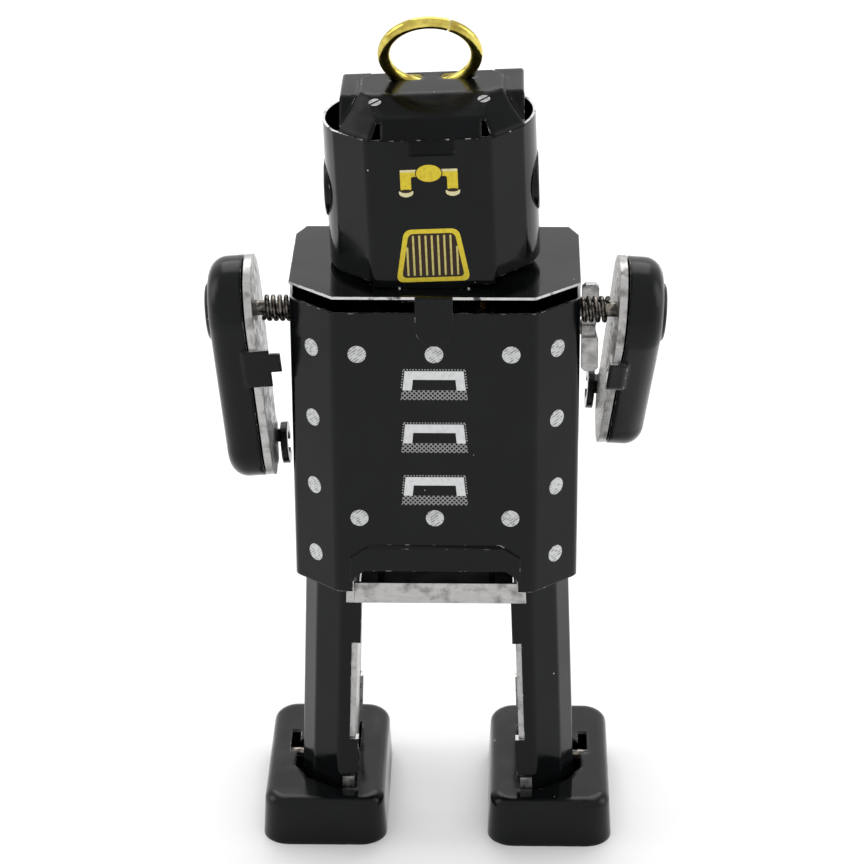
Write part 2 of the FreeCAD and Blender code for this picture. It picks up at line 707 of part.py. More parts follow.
def winding_parts():
    arbor = rod("winding_arbor", key_arbor, key_shaft, -torso_half - 0.9, frame_x + 0.45)
    pad(arbor, "YZ", -2.6, 1.0, circles=[(*key_arbor, 0.95)])
    ratchet = new_body("ratchet_wheel")
    move_to(ratchet, 0, middle + key_arbor[0], key_arbor[1])
    pad(ratchet, "YZ", -3.9, -3.5, circles=[(0, 0, 1.5)])
    first = pad(ratchet, "YZ", -3.9, -3.5, [[(1.2, -0.4), (2.0, -0.05), (2.0, 0.05), (1.2, 0.2)]])
    pattern = ratchet.newObject("PartDesign::PolarPattern", "ratchet_wheel_teeth")
    pattern.Originals = [first]
    line = next(item for item in ratchet.Origin.OriginFeatures if item.Role == "X_Axis")
    pattern.Axis = (line, [""])
    pattern.Angle = 360
    pattern.Occurrences = 10
    ratchet.Tip = pattern
    pocket(ratchet, "YZ", -4, -3, circles=[(0, 0, key_shaft)])
    click = in_torso("ratchet_click")
    y, z = key_arbor
    pad(click, "YZ", -4.1, -3.5, circles=[(y - 2.9, z + 0.6, 0.35)])
    pad(click, "YZ", -3.9, -3.6, [[(y - 3.1, z + 0.4), (y - 2.5, z + 1.6), (y - 1.7, z + 1.85),
                                   (y - 1.5, z + 1.6), (y - 2.3, z + 1.3), (y - 2.6, z + 0.4)]])


def winding_key():
    """A flat key: two wings with cut corners, on a short round socket."""
    body = in_torso("winding_key")
    y, z = key_arbor
    outer, inner = -torso_half - 1.9, -torso_half - 0.3
    wing, waist, cut = key_reach, 0.9, 0.35
    outline = [(inner, z - wing + cut), (inner, z + wing - cut), (inner - cut, z + wing),
               (outer + cut, z + wing), (outer, z + wing - cut), (outer, z + waist + 0.5),
               (outer + cut, z), (outer, z - waist - 0.5), (outer, z - wing + cut),
               (outer + cut, z - wing), (inner - cut, z - wing)]
    pad(body, "XZ", y - 0.35, y + 0.35, [outline])
    pad(body, "YZ", outer + 0.3, inner, circles=[(y, z, 1.05)])
    pocket(body, "YZ", -torso_half - 0.9, inner + 1, circles=[(y, z, key_shaft)])


# ---------------------------------------------------------------- head and ring

def cap_rise():
    """How far the cap's frame rises when it moves aside along the leaning head."""
    return cap_aside * math.tan(math.radians(head_lean.number))


def head_body(label, aside=0, rise=0):
    """A body in the head's own frame: Z = 0 on the shoulder plate, leaning with the head."""
    body = new_body(label)
    body.Placement = Placement(Vector(), Rotation(AXIS["Y"], head_lean.number))
    body.setExpression(".Placement.Rotation.Angle", head_lean.text)
    move_to(body, -aside, middle, plate_top + rise)
    return body


def head_plan():
    """Plan of the head: flat back and front, folded corners, bowed sides."""
    bow = (head_side * head_side + head_bulge * head_bulge) / (2 * head_bulge)
    hub = head_half + head_bulge - bow
    return [(head_half, -head_side, (hub, 0)), (head_half, head_side), (head_flat, head_back),
            (-head_flat, head_back), (-head_half, head_side, (-hub, 0)),
            (-head_half, -head_side), (-head_flat, -head_back), (head_flat, -head_back)]


def head_shell():
    body = head_body("head_shell")
    low = 0.3
    pad(body, "XY", low, head_high, [head_plan()])
    round_edges(body, 0.9, lambda edge: runs_along(edge, "Z"))
    hollow(body, tin, lambda face: faces_way(face, AXIS["Z"]) or faces_way(face, -AXIS["Z"]))
    outermost = head_half + head_bulge + ear_proud
    for side in (1, -1):
        corner = sorted_span(side * head_flat, side * (head_half + 3))
        pocket(body, "XY", 0, 0.85, [rectangle(*corner, -head_back - 1, head_back + 1)])
        wall = sorted_span(side * head_back, side * (head_back - tin))
        pad(body, "XY", -1.2, low + 0.2, [rectangle(-head_tab, head_tab, *wall)])
        ear = sorted_span(side * (head_half + 0.45), side * outermost)
        pad(body, "YZ", *ear, circles=[(0, ear_high, ear_round)])
    round_edges(body, 0.35,
                lambda edge: abs(abs(edge.CenterOfMass.x) - outermost.number) < 1e-3)


def roof_level(reach_x, reach_y, corner_x, corner_y):
    """One level of the cap: a rectangle with its corners cut off."""
    points = []
    for side_x, side_y in ((1, -1), (1, 1), (-1, 1), (-1, -1)):
        near_side = (side_x * reach_x, side_y * (reach_y - corner_y))
        near_end = (side_x * (reach_x - corner_x), side_y * reach_y)
        points += [near_side, near_end] if side_x * side_y > 0 else [near_end, near_side]
    return points


def add_roof(body, kind, inset):
    """The cap's faceted hill, lofted through its rim, its fold and its flat top."""
    levels = [(cap_x, cap_y, size(2.8), size(2.9), head_high),
              (cap_x - 1.15, cap_y - 1.6, size(2.4), size(2.4), head_high + cap_fold),
              (cap_x - 2.0, cap_y - 4.4, size(0.9), size(0.9), head_high + cap_high)]
    sketches = [add_sketch(body, "XY", z - inset, [roof_level(x - inset, y - inset, cx, cy)], [])
                for x, y, cx, cy, z in levels]
    loft = body.newObject(f"PartDesign::{kind}Loft", f"{body.Label}_hill")
    loft.Profile = sketches[0]
    loft.Sections = sketches[1:]
    loft.Ruled = True
    body.Tip = loft
    return loft


def head_cap():
    """The folded cap: a hill, a lower shelf at each side, ring slots, notches and tabs."""
    body = head_body("head_cap", cap_aside, cap_rise())
    add_roof(body, "Additive", size(0))
    shelf_top = head_high + cap_high - shelf_drop
    shelf_edge = cap_x - 0.05
    profile = [(-shelf_front, head_high), (shelf_back, head_high), (shelf_back, head_high + tin),
               (shelf_back - 2.5, shelf_top), (-shelf_front, shelf_top)]
    for side in (1, -1):
        pad(body, "YZ", *sorted_span(side * (cap_x - 2.7), side * shelf_edge), [profile])
    round_edges(body, 0.3, lambda edge: edge.CenterOfMass.z > shelf_top.number - 0.01
                and abs(edge.CenterOfMass.x) > shelf_edge.number - 0.25)
    add_roof(body, "Subtractive", tin)
    inner = [(tin - shelf_front, head_high - 1), (shelf_back - 0.7, head_high - 1),
             (shelf_back - 0.7, head_high + 0.2), (shelf_back - 2.6, shelf_top - tin),
             (tin - shelf_front, shelf_top - tin)]
    for side in (1, -1):
        pocket(body, "YZ", *sorted_span(side * (cap_x - 3.3), side * (shelf_edge - tin)), [inner])
    ring_slots(body)
    rim_notches(body)
    tab_low, tab_high = head_high - 1.5, head_high + 0.08
    for end in (1, -1):
        face = sorted_span(end * (head_back + 0.05), end * (head_back + 0.05 + tin))
        pad(body, "XZ", *face, [rectangle(-2.0, 2.0, tab_low, tab_high)])


def ring_slots(body):
    """Two slots across the cap's flat top, long enough for the ring to swing back."""
    slot_half, inwards, outwards = 0.8, 1.8, 1.3
    slots = [rounded(*sorted_span(side * (ring_hole - inwards), side * (ring_hole + outwards)),
                     -ring_ahead - slot_half, slot_half - ring_ahead, slot_half - 0.05)
             for side in (1, -1)]
    pocket(body, "XY", head_high + cap_fold + 0.5, head_high + cap_high + 1, slots)


def rim_notches(body):
    """A narrow leaning notch near each corner of the cap's front and back rims."""
    inner, outer, tip, notch_high = 4.45, 5.35, 4.8, 1.2
    for side in (1, -1):
        notch = [(side * inner, head_high - 1), (side * outer, head_high - 1),
                 (side * outer, head_high), (side * tip, head_high + notch_high),
                 (side * inner, head_high + notch_high)]
        for end in (1, -1):
            pocket(body, "XZ", *sorted_span(end * (cap_y - 1.85), end * (cap_y + 1)), [notch])


def hanging_ring():
    """A wire ring through both holes of the cap, its two ends butted at one side."""
    node = doc.addObject("Part::Torus", "hanging_ring")
    node.setExpression("Radius1", ring_mean.text)
    node.setExpression("Radius2", ring_wire.text)
    node.Angle3 = 356.5
    reach = Size(math.sqrt(ring_mean.number ** 2 - ring_hole.number ** 2),
                 f"sqrt({ring_mean.text} ^ 2 - {ring_hole.text} ^ 2)")
    head = Rotation(AXIS["Y"], head_lean.number)
    about_holes = Rotation(AXIS["X"], -ring_lean.number)
    upright = Rotation(AXIS["X"], 90)
    seam_turn = Rotation(AXIS["Z"], 118)
    rise = about_holes.multVec(Vector(0, 0, reach.number))
    hinge = Vector(0, -ring_ahead.number, head_high.number + cap_high.number - tin.number / 2)
    base = Vector(-cap_aside.number, middle.number, (plate_top + cap_rise()).number)
    place = base + head.multVec(hinge + rise)
    node.Placement = Placement(place, head * about_holes * upright * seam_turn)
    node.Label = "hanging_ring"
    nodes.append(node)


# ---------------------------------------------------------------- arms

def arm_body(label, side, swing, lean):
    """A body in an arm's own frame: origin at the shoulder, hanging down, X across."""
    body = new_body(label)
    inwards = Rotation(AXIS["Y"], side * lean.number)
    body.Placement = Placement(Vector(), Rotation(AXIS["X"], -swing.number) * inwards)
    move_to(body, side * arm_x, middle + shoulder_y, shoulder_z)
    return body


def arm_side(inset):
    """Side view of the arm, as (Y, Z): round shoulder, round elbow, short forearm."""
    shoulder, elbow = arm_round - inset, elbow_round - inset
    return [(-shoulder, 0), (inset - 4.4, -elbow_z), (inset - 5.2, -elbow_z - 1.2),
            (inset - elbow_y - 2.2, -elbow_z - 3.9 + inset),
            (-elbow_y, -elbow_z - elbow, (-elbow_y, -elbow_z)),
            (elbow - elbow_y, -elbow_z), (shoulder, 0, (0, 0))]


def back_edge(z):
    """Y of the arm's back edge between the shoulder and the elbow, at a height."""
    narrow = elbow_round - elbow_y
    return narrow + (arm_round - narrow) * ((elbow_z + z) / elbow_z)


def wrist_slot(side, body):
    """Cut the opening that the claw's wrist leaves through, at the front of the elbow."""
    hub_y, hub_z = claw_hub()
    opening = [(hub_y - 1.0, hub_z + 1.9), (hub_y + 2.0, hub_z + 2.9), (hub_y + 3.4, hub_z + 0.9),
               (hub_y - 0.6, hub_z - 0.5)]
    pocket(body, "YZ", *sorted_span(side * plate_tin, side * (wrist_high + 0.05)), [opening])


def stepped_cavity(body, side, inner, outer):
    """Hollow the arm in steps that follow the round of its outer face."""
    steps = 6
    inside_round = arm_brow - tin
    for step in range(steps):
        turn = math.radians(90 * (step + 0.5) / steps)
        inset = tin + inside_round * (1 - math.cos(turn))
        floor = outer - arm_brow + inside_round * math.sin(turn)
        pocket(body, "YZ", *sorted_span(side * (inner - 0.5), side * floor), [arm_side(inset)])


def arm_shell(side, name, swing):
    body = arm_body(f"{name}_arm_shell", side, swing, arm_lean)
    inner, outer = arm_rim + arm_gap, arm_thick
    pad(body, "YZ", *sorted_span(side * inner, side * outer), [arm_side(size(0))])
    doc.recompute()
    rim = [edge for face in body.Tip.Shape.Faces if faces_way(face, Vector(side, 0, 0))
           for edge in face.Edges]
    round_edges(body, arm_brow, lambda edge: any(edge.isSame(other) for other in rim))
    stepped_cavity(body, side, inner, outer)
    dome = sorted_span(side * (outer - tin), side * (outer + 0.4))
    pad(body, "YZ", *dome, circles=[(0, 0, 2.7)])
    crown = outer.number + 0.4
    round_edges(body, 0.35, lambda edge: abs(abs(edge.CenterOfMass.x) - crown) < 1e-3)
    wrist_slot(side, body)
    hook_tab(body, side, name == "left")


def along_back(high, low, front, rear):
    """A strip along the arm's back edge, between two heights, from front to rear of it."""
    return [(back_edge(low) + seat + front, low), (back_edge(low) + seat + rear, low),
            (back_edge(high) + seat + rear, high), (back_edge(high) + seat + front, high)]


def hook_tab(body, side, standing):
    """The shell's tab behind the plate: folded over it, or left standing with a torn end."""
    inner = arm_rim + arm_gap
    top, bottom = -2.2, -6.0
    half_way, end = 1.1, 2.1
    reach = half_way if standing else tin
    pad(body, "YZ", *sorted_span(side * -reach, side * (inner + 0.5)),
        [along_back(top, bottom, 0, tin)])
    if standing:
        torn = along_back(top - 0.4, bottom + 1.5, 0, tin)
        pad(body, "YZ", *sorted_span(side * -end, side * -half_way), [torn])
    else:
        folded = along_back(top, bottom, -1.1, tin)
        pad(body, "YZ", *sorted_span(side * -tin, side * -seat), [folded])
    pad(body, "YZ", *sorted_span(side * inner, side * (inner + 0.5)),
        [along_back(top, bottom, -tin, tin)])


def arm_plate(side, name, swing):
    """The bare inner plate of the arm, with a rim turned towards the shell."""
    body = arm_body(f"{name}_arm_plate", side, swing, arm_lean)
    pad(body, "YZ", *sorted_span(0, side * arm_rim), [arm_side(size(0))])
    pocket(body, "YZ", *sorted_span(side * plate_tin, side * (arm_rim + 1)),
           [arm_side(plate_tin)])
    pocket(body, "YZ", -1, 1, circles=[(0, 0, shoulder_pin + 0.06)])
    wrist_slot(side, body)


def claw_hub():
    """Centre of the claw's fingers in the arm's side view."""
    return -elbow_y - 4.9, -elbow_z - 3.5


def claw(side, name, swing):
    """Two C-shaped fingers side by side, joined by a wrist that enters the forearm."""
    body = arm_body(f"{name}_claw", side, swing, arm_lean)
    hub_y, hub_z = claw_hub()
    outer, inner = 2.0, 1.05
    low, middle_low, middle_high, high = -0.85, -0.2, 0.5, wrist_high
    whole = sorted_span(side * low, side * high)
    spans = [sorted_span(side * low, side * middle_low),
             sorted_span(side * middle_high, side * high)]
    mouth = [(hub_y, hub_z), (hub_y - 3.2, hub_z - 0.5), (hub_y - 2.2, hub_z - 3.0)]
    wrist = [(hub_y + 0.6, hub_z + 1.2), (hub_y + 2.0, hub_z + 2.2),
             (hub_y + 2.9, hub_z + 0.9), (hub_y + 1.4, hub_z + 0.2)]
    inside = sorted_span(side * (plate_tin + 0.03), side * high)
    pad(body, "YZ", *inside, [wrist])
    for span in spans:
        pad(body, "YZ", *span, circles=[(hub_y, hub_z, outer)])
    neck = [(hub_y - 0.6, hub_z + 1.3), (hub_y + 0.8, hub_z + 1.8), (hub_y + 1.5, hub_z + 0.8),
            (hub_y + 0.8, hub_z + 0.6)]
    pad(body, "YZ", *whole, [neck])
    pocket(body, "YZ", *whole, circles=[(hub_y, hub_z, inner)])
    pocket(body, "YZ", *whole, [mouth])


def shoulder_pin_body(side, name, swing):
    """The rivet that carries the arm: head outside the plate, washer inside the wall."""
    body = arm_body(f"{name}_shoulder_pin", side, swing, size(0))
    wall = torso_half - arm_x
    head = sorted_span(side * (plate_tin + 0.25), side * (plate_tin + 0.75))
    pad(body, "YZ", *sorted_span(side * (wall - 1.2), side * (plate_tin + 0.75)),
        circles=[(0, 0, shoulder_pin)])
    pad(body, "YZ", *head, circles=[(0, 0, 1.3)])
    pad(body, "YZ", *sorted_span(side * (wall - tin - 0.9), side * (wall - tin - 0.3)),
        circles=[(0, 0, 1.3)])


def shoulder_spring(side, name):
    """A short coil spring round the pin, between the torso and the arm."""
    wire, turns = 0.22, 4
    low = torso_half.number + wire + 0.02
    length = arm_x.number - low - wire - 0.36
    radius = 1.03
    helix = Part.makeHelix(length / turns, length, radius)
    section = Part.Wire(Part.makeCircle(wire, Vector(radius, 0, 0), AXIS["Y"]))
    coil = Part.Wire(helix.Edges).makePipeShell([section], True, True)
    node = doc.addObject("Part::Feature", f"{name}_shoulder_spring")
    node.Shape = coil
    node.Label = f"{name}_shoulder_spring"
    node.Placement = Placement(Vector(side * low, 0, 0), Rotation(AXIS["Y"], side * 90))
    node.setExpression(".Placement.Base.y", (middle + shoulder_y).text)
    node.setExpression(".Placement.Base.z", shoulder_z.text)
    nodes.append(node)


# ---------------------------------------------------------------- legs and feet

def leg_body(label, side):
    """A body in a leg's own frame: origin on the hip axle at the leg's inner face."""
    body = new_body(label)
    body.Placement = Placement(Vector(), Rotation(AXIS["Y"], -side * leg_splay.number))
    move_to(body, side * leg_x, middle, hip_z)
    return body


def leg_plan(side, grow):
    """Section of the leg, open inner side first; grow widens it all round."""
    wide, half = leg_wide + grow, leg_half + grow
    across = [(-grow, half), (1.6, half), (4.0 + grow * 0.7, half - 1.85),
              (wide, half - 4.15), (wide, 4.15 - half), (4.0 + grow * 0.7, 1.85 - half),
              (1.6, -half), (-grow, -half)]
    return [(side * size(u), size(v)) for u, v in across]


def ankle_hole():
    """The ankle pin's oversize hole in the splayed leg, at mid width level with the pin."""
    drop = leg_wide / 2 * leg_splay * math.radians(1)
    return -ankle_y, ankle_z - hip_z - drop, ankle_pin_round + gap + 0.15


def leg_channel(side, name):
    body = leg_body(f"{name}_leg_channel", side)
    low, high = leg_low - hip_z, size(3.6)
    pad(body, "XY", low, high, [leg_plan(side, size(0))])
    round_edges(body, 0.8, lambda edge: runs_along(edge, "Z")
                and abs(edge.CenterOfMass.x) > 0.1)
    hollow(body, tin, lambda face: faces_way(face, AXIS["Z"])
           or faces_way(face, -AXIS["Z"]) or faces_way(face, Vector(-side, 0, 0)))
    flange = sorted_span(side * -0.5, side * leg_gap)
    upper_tab, lower_tab, front_tab = (-7.0, -11.4), (-22.0, -26.0), (-21.0, -25.0)
    window = rectangle(*flange, lower_tab[0], upper_tab[1])
    above = rectangle(*flange, upper_tab[0], high + 1)
    beneath = rectangle(*flange, low - 1, lower_tab[1])
    for cut in (window, above, beneath):
        pocket(body, "XZ", leg_half - 1, leg_half + 1, [cut])
    hook = sorted_span(side * -0.3, 0)
    bridge = sorted_span(side * -0.3, side * 0.6)
    for end, tab in ((1, upper_tab), (1, lower_tab), (-1, front_tab)):
        top, bottom = tab
        bent = sorted_span(end * (leg_half - 1), end * leg_half)
        wall = sorted_span(end * (leg_half - tin), end * leg_half)
        pad(body, "XY", bottom, top, [rectangle(*hook, *bent)])
        pad(body, "XY", bottom, top, [rectangle(*bridge, *wall)])
    for hole in ((0, 0, axle_round + gap), ankle_hole()):
        pocket(body, "YZ", *sorted_span(0, side * 8), circles=[hole])


def leg_plate(side, name):
    """The bare plate that closes the channel and carries the lever to the crank."""
    body = leg_body(f"{name}_leg_plate", side)
    low = leg_low - hip_z + 0.3
    inner = sorted_span(side * seat, side * (seat + plate_tin))
    edge = leg_half - tin - 0.05
    lever_top = crank_arbor[1] - hip_z + 3.2
    outline = [(-edge, low), (edge, low), (edge, 3.0), (3.0, 4.6), (3.0, lever_top),
               (-3.0, lever_top), (-3.0, 4.6), (-edge, 3.0)]
    pad(body, "YZ", *inner, [outline])
    lip = sorted_span(side * seat, side * 1.3)
    for end in (1, -1):
        fold_span = sorted_span(end * (edge - plate_tin), end * edge)
        pad(body, "XY", low, 3.0, [rectangle(*lip, *fold_span)])
    outside = leg_half + seat + tin
    for top, bottom in ((-5.7, -6.9), (-26.1, -27.4)):
        folded = sorted_span(side * seat, side * 1.15)
        pad(body, "XY", bottom, top, [rectangle(*inner, edge - plate_tin, outside)])
        pad(body, "XY", bottom, top, [rectangle(*folded, leg_half + seat, outside)])
    window_y, window_z = throw * 2 + 0.45, throw + 0.5
    crank_height = crank_arbor[1] - hip_z
    slot = rectangle(-window_y, window_y, crank_height - window_z, crank_height + window_z)
    through = sorted_span(side * -1, side * 1)
    pocket(body, "YZ", *through, [slot])
    for hole in ((0, 0, axle_round + gap), ankle_hole()):
        pocket(body, "YZ", *through, circles=[hole])


def foot_plan(inset):
    """Plan of the foot, drawn inwards by the inset."""
    half = foot_half - inset
    return rounded(-half, half, inset - foot_toe, foot_heel - inset, foot_corner - inset)


def foot_body(label, side):
    body = new_body(label)
    move_to(body, side * foot_x, middle, 0)
    return body


def foot_shell(side, name):
    body = foot_body(f"{name}_foot_shell", side)
    draft = 3
    inside_top = foot_high - plate_tin
    pad(body, "XY", 0, foot_high, [foot_plan(size(0))], taper=-draft)
    round_edges(body, foot_brow, lambda edge: edge.BoundBox.ZMin > foot_high.number - 0.01)
    cavity = pocket(body, "XY", 0, inside_top, [foot_plan(plate_tin)], upwards=True)
    cavity.TaperAngle = -draft
    round_edges(body, foot_brow - plate_tin,
                lambda edge: abs(edge.BoundBox.ZMin - inside_top.number) < 0.01
                and abs(edge.BoundBox.ZMax - inside_top.number) < 0.01)
    shift = -leg_wide / 2 * side
    opening = [(u + shift, v) for u, v in leg_plan(side, size(0.5))]
    pocket(body, "XY", 1.6, foot_high + 1, [opening])
    notch = sorted_span(side * (leg_wide / 2 + 0.3), side * (leg_wide / 2 + 1.2))
    pocket(body, "XY", 1.6, foot_high + 1,
           [rectangle(*notch, -ankle_y - 2.4, -ankle_y + 1.6)])


def foot_sole(side, name):
    body = foot_body(f"{name}_foot_sole", side)
    inset = plate_tin + 0.15
    pad(body, "XY", 0, sole_tin, [foot_plan(inset)])
    lug_foot, lug_head = 1.2, 0.8
    for end in (1, -1):
        lug = sorted_span(end * (leg_wide / 2 + 1.3), end * (leg_wide / 2 + 1.7))
        upright = [(-ankle_y - lug_foot, sole_tin - 0.05), (-ankle_y + lug_foot, sole_tin - 0.05),
                   (-ankle_y + lug_head, ankle_z + 0.72), (-ankle_y - lug_head, ankle_z + 0.72)]
        pad(body, "YZ", *lug, [upright])
        pocket(body, "YZ", *lug, circles=[(-ankle_y, ankle_z, ankle_pin_round)])


def ankle_pin(side, name):
    body = foot_body(f"{name}_ankle_pin", side)
    reach = leg_wide / 2 + 1.9
    pad(body, "YZ", -reach, reach, circles=[(-ankle_y, ankle_z, ankle_pin_round)])


# ---------------------------------------------------------------- build and export

def build():
    back_shell()
    front_shell()
    shoulder_plate()
    base_plate()
    pillars()
    rod("hip_axle", hip, axle_round, -leg_x - leg_wide + 0.6, leg_x + leg_wide - 0.6)
    mainspring()
    winding_parts()
    winding_key()
    gear_train()
    escapement()
    head_shell()
    head_cap()
    hanging_ring()
    for side, name, swing in ((1, "left", size(0)), (-1, "right", right_swing)):
        motor_plate(side)
        crank(side)
        arm_shell(side, name, swing)
        arm_plate(side, name, swing)
        claw(side, name, swing)
        shoulder_pin_body(side, name, swing)
        shoulder_spring(side, name)
        leg_channel(side, name)
        leg_plate(side, name)
        foot_shell(side, name)
        foot_sole(side, name)
        ankle_pin(side, name)


def check():
    doc.recompute()
    for item in doc.Objects:
        if {"Invalid", "Error"} & set(item.State):
            raise RuntimeError(f"{item.Label} is in state {item.State}")
    for node in nodes:
        shape = node.Shape
        if shape.isNull() or not shape.isValid():
            raise RuntimeError(f"{node.Label} has no valid shape")


build()
check()
for node in nodes:
    node.Shape.exportStep(f"parts/{node.Label}.step")
print(f"{len(nodes)} nodes")
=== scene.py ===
import math

import bmesh
import bpy
from mathutils import Matrix, Vector
from mathutils.bvhtree import BVHTree


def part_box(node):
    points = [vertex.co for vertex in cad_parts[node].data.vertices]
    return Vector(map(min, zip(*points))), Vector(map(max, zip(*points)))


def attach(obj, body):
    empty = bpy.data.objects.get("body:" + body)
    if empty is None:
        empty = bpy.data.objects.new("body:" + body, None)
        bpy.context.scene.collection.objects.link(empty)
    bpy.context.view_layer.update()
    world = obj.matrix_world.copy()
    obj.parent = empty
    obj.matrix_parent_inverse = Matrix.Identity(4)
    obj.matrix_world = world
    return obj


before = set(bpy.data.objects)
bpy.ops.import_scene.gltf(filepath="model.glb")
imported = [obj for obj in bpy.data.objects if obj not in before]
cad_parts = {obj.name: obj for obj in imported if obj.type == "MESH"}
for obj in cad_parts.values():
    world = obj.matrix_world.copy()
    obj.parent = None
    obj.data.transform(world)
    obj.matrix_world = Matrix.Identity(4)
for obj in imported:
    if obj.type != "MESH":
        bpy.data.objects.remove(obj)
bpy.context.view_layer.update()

# The looks of a small tin wind-up robot. It faces -Y and stands on Z = 0; +X is its left.
# Lengths are in metres; MM turns millimetres into them.

MM = 0.001
Y_AXIS, Z_AXIS = Vector((0, 1, 0)), Vector((0, 0, 1))


def centre_of(node):
    low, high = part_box(node)
    return (Vector(low) + Vector(high)) / 2


MIDDLE = centre_of("hip_axle").y            # Y of the plane through the hip axle
PLATE_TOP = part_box("shoulder_plate")[1][2]  # where the head stands
TORSO_BACK = MIDDLE + 8.75 * MM
TORSO_FRONT = MIDDLE - 8.25 * MM
CHAMFER_NORMAL = Vector((3.6, 4.1, 0)).normalized()    # of the torso's back corners
CHAMFER_MIDDLE = Vector((11.15 * MM, MIDDLE + 6.95 * MM, 0))
HEAD_FACE = 6.85 * MM                       # the head's flat walls, from the middle plane
HEAD_HIGH = 14.3 * MM                       # the head's walls
ARCH_TOP = 33.2 * MM                        # above the arch and its crease
FLANGE_SETBACK = 1.75 * MM                  # from the base plate's ears to its flange
HEAD_LEAN, CAP_ASIDE = math.radians(2.2), 0.35 * MM
HEAD_FRAME = Matrix.Translation((0, MIDDLE, PLATE_TOP)) @ Matrix.Rotation(HEAD_LEAN, 4, "Y")
CAP_FRAME = HEAD_FRAME @ Matrix.Translation((-CAP_ASIDE, 0, 0))
SHEET, FOOT_SHEET = 0.25 * MM, 0.30 * MM    # thickness of the painted tin


# ---------------------------------------------------------------- materials

class Shader:
    """One node material: each helper adds nodes and returns an output socket."""

    def __init__(self, name):
        self.material = bpy.data.materials.new(name)
        self.material.use_nodes = True
        tree = self.material.node_tree
        tree.nodes.clear()
        self.nodes, self.links = tree.nodes, tree.links
        output = self.nodes.new("ShaderNodeOutputMaterial")
        self.surface = self.nodes.new("ShaderNodeBsdfPrincipled")
        self.links.new(self.surface.outputs["BSDF"], output.inputs["Surface"])
        self.place = self.nodes.new("ShaderNodeTexCoord").outputs["Object"]

    def feed(self, socket, value):
        """Give a socket a constant, or the output of another node."""
        if isinstance(value, bpy.types.NodeSocket):
            self.links.new(value, socket)
        else:
            socket.default_value = value

    def set(self, **inputs):
        """Set the shader's own sockets, with words joined by underscores."""
        for name, value in inputs.items():
            self.feed(self.surface.inputs[name.replace("_", " ")], value)

    def stretched(self, scale):
        """The object's own coordinates, scaled by a number for each axis."""
        node = self.nodes.new("ShaderNodeMapping")
        self.feed(node.inputs["Vector"], self.place)
        node.inputs["Scale"].default_value = scale
        return node.outputs["Vector"]

    def noise(self, size, detail=2.0, vector=None):
        """Soft noise, 0 to 1, whose features are about this size."""
        node = self.nodes.new("ShaderNodeTexNoise")
        self.feed(node.inputs["Vector"], vector or self.place)
        node.inputs["Scale"].default_value = 1 / size
        node.inputs["Detail"].default_value = detail
        return node.outputs["Fac"]

    def span(self, value, low, high, to_low=0.0, to_high=1.0):
        """Map low..high onto another span, clamped."""
        node = self.nodes.new("ShaderNodeMapRange")
        self.feed(node.inputs["Value"], value)
        for name, number in (("From Min", low), ("From Max", high),
                             ("To Min", to_low), ("To Max", to_high)):
            node.inputs[name].default_value = number
        return node.outputs["Result"]

    def math(self, operation, first, second=0.0):
        node = self.nodes.new("ShaderNodeMath")
        node.operation = operation
        self.feed(node.inputs[0], first)
        self.feed(node.inputs[1], second)
        return node.outputs["Value"]

    def mix(self, amount, first, second):
        """Two colours, mixed."""
        node = self.nodes.new("ShaderNodeMix")
        node.data_type = "RGBA"
        self.feed(node.inputs["Factor"], amount)
        self.feed(node.inputs["A"], first)
        self.feed(node.inputs["B"], second)
        return node.outputs["Result"]

    def soft_normal(self, radius):
        """The surface direction with its edges rounded by this radius."""
        node = self.nodes.new("ShaderNodeBevel")
        node.samples = 6
        node.inputs["Radius"].default_value = radius
        return node.outputs["Normal"]

    def edges(self, radius, low, high):
        """1 along sharp edges, 0 on the open faces."""
        flat = self.nodes.new("ShaderNodeNewGeometry").outputs["Normal"]
        node = self.nodes.new("ShaderNodeVectorMath")
        node.operation = "DOT_PRODUCT"
        self.feed(node.inputs[0], self.soft_normal(radius))
        self.feed(node.inputs[1], flat)
        return self.span(node.outputs["Value"], high, low)

    def specks(self, cell, radius, share):
        """Sparse round specks: one per cell at most, in this share of the cells."""
        node = self.nodes.new("ShaderNodeTexVoronoi")
        self.feed(node.inputs["Vector"], self.place)
        node.inputs["Scale"].default_value = 1 / cell
        near = self.math("LESS_THAN", node.outputs["Distance"], radius / cell)
        chance = self.nodes.new("ShaderNodeSeparateColor")
        self.feed(chance.inputs["Color"], node.outputs["Color"])
        kept = self.math("LESS_THAN", chance.outputs["Red"], share)
        return self.math("MULTIPLY", near, kept)

    def stripes(self, direction, pitch):
        """Waves 0 to 1 along a direction, with this pitch."""
        node = self.nodes.new("ShaderNodeVectorMath")
        node.operation = "DOT_PRODUCT"
        self.feed(node.inputs[0], self.place)
        node.inputs[1].default_value = Vector(direction).normalized() * (2 * math.pi / pitch)
        wave = self.math("SINE", node.outputs["Value"])
        return self.span(wave, -1, 1)

    def bump(self, heights, normal=None):
        """Relief from (height socket, depth in metres) pairs, on top of a normal."""
        for height, depth in heights:
            node = self.nodes.new("ShaderNodeBump")
            node.inputs["Distance"].default_value = depth
            self.feed(node.inputs["Height"], height)
            if normal is not None:
                self.feed(node.inputs["Normal"], normal)
            normal = node.outputs["Normal"]
        self.feed(self.surface.inputs["Normal"], normal)


def grey(level, tint=0.0):
    """A grey, warmer with a positive tint and cooler with a negative one."""
    return (level * (1 + tint), level, level * (1 - tint), 1)


VARNISH = 1.28                              # refractive index: it reflects little seen square on
CAP_VARNISH = 1.20


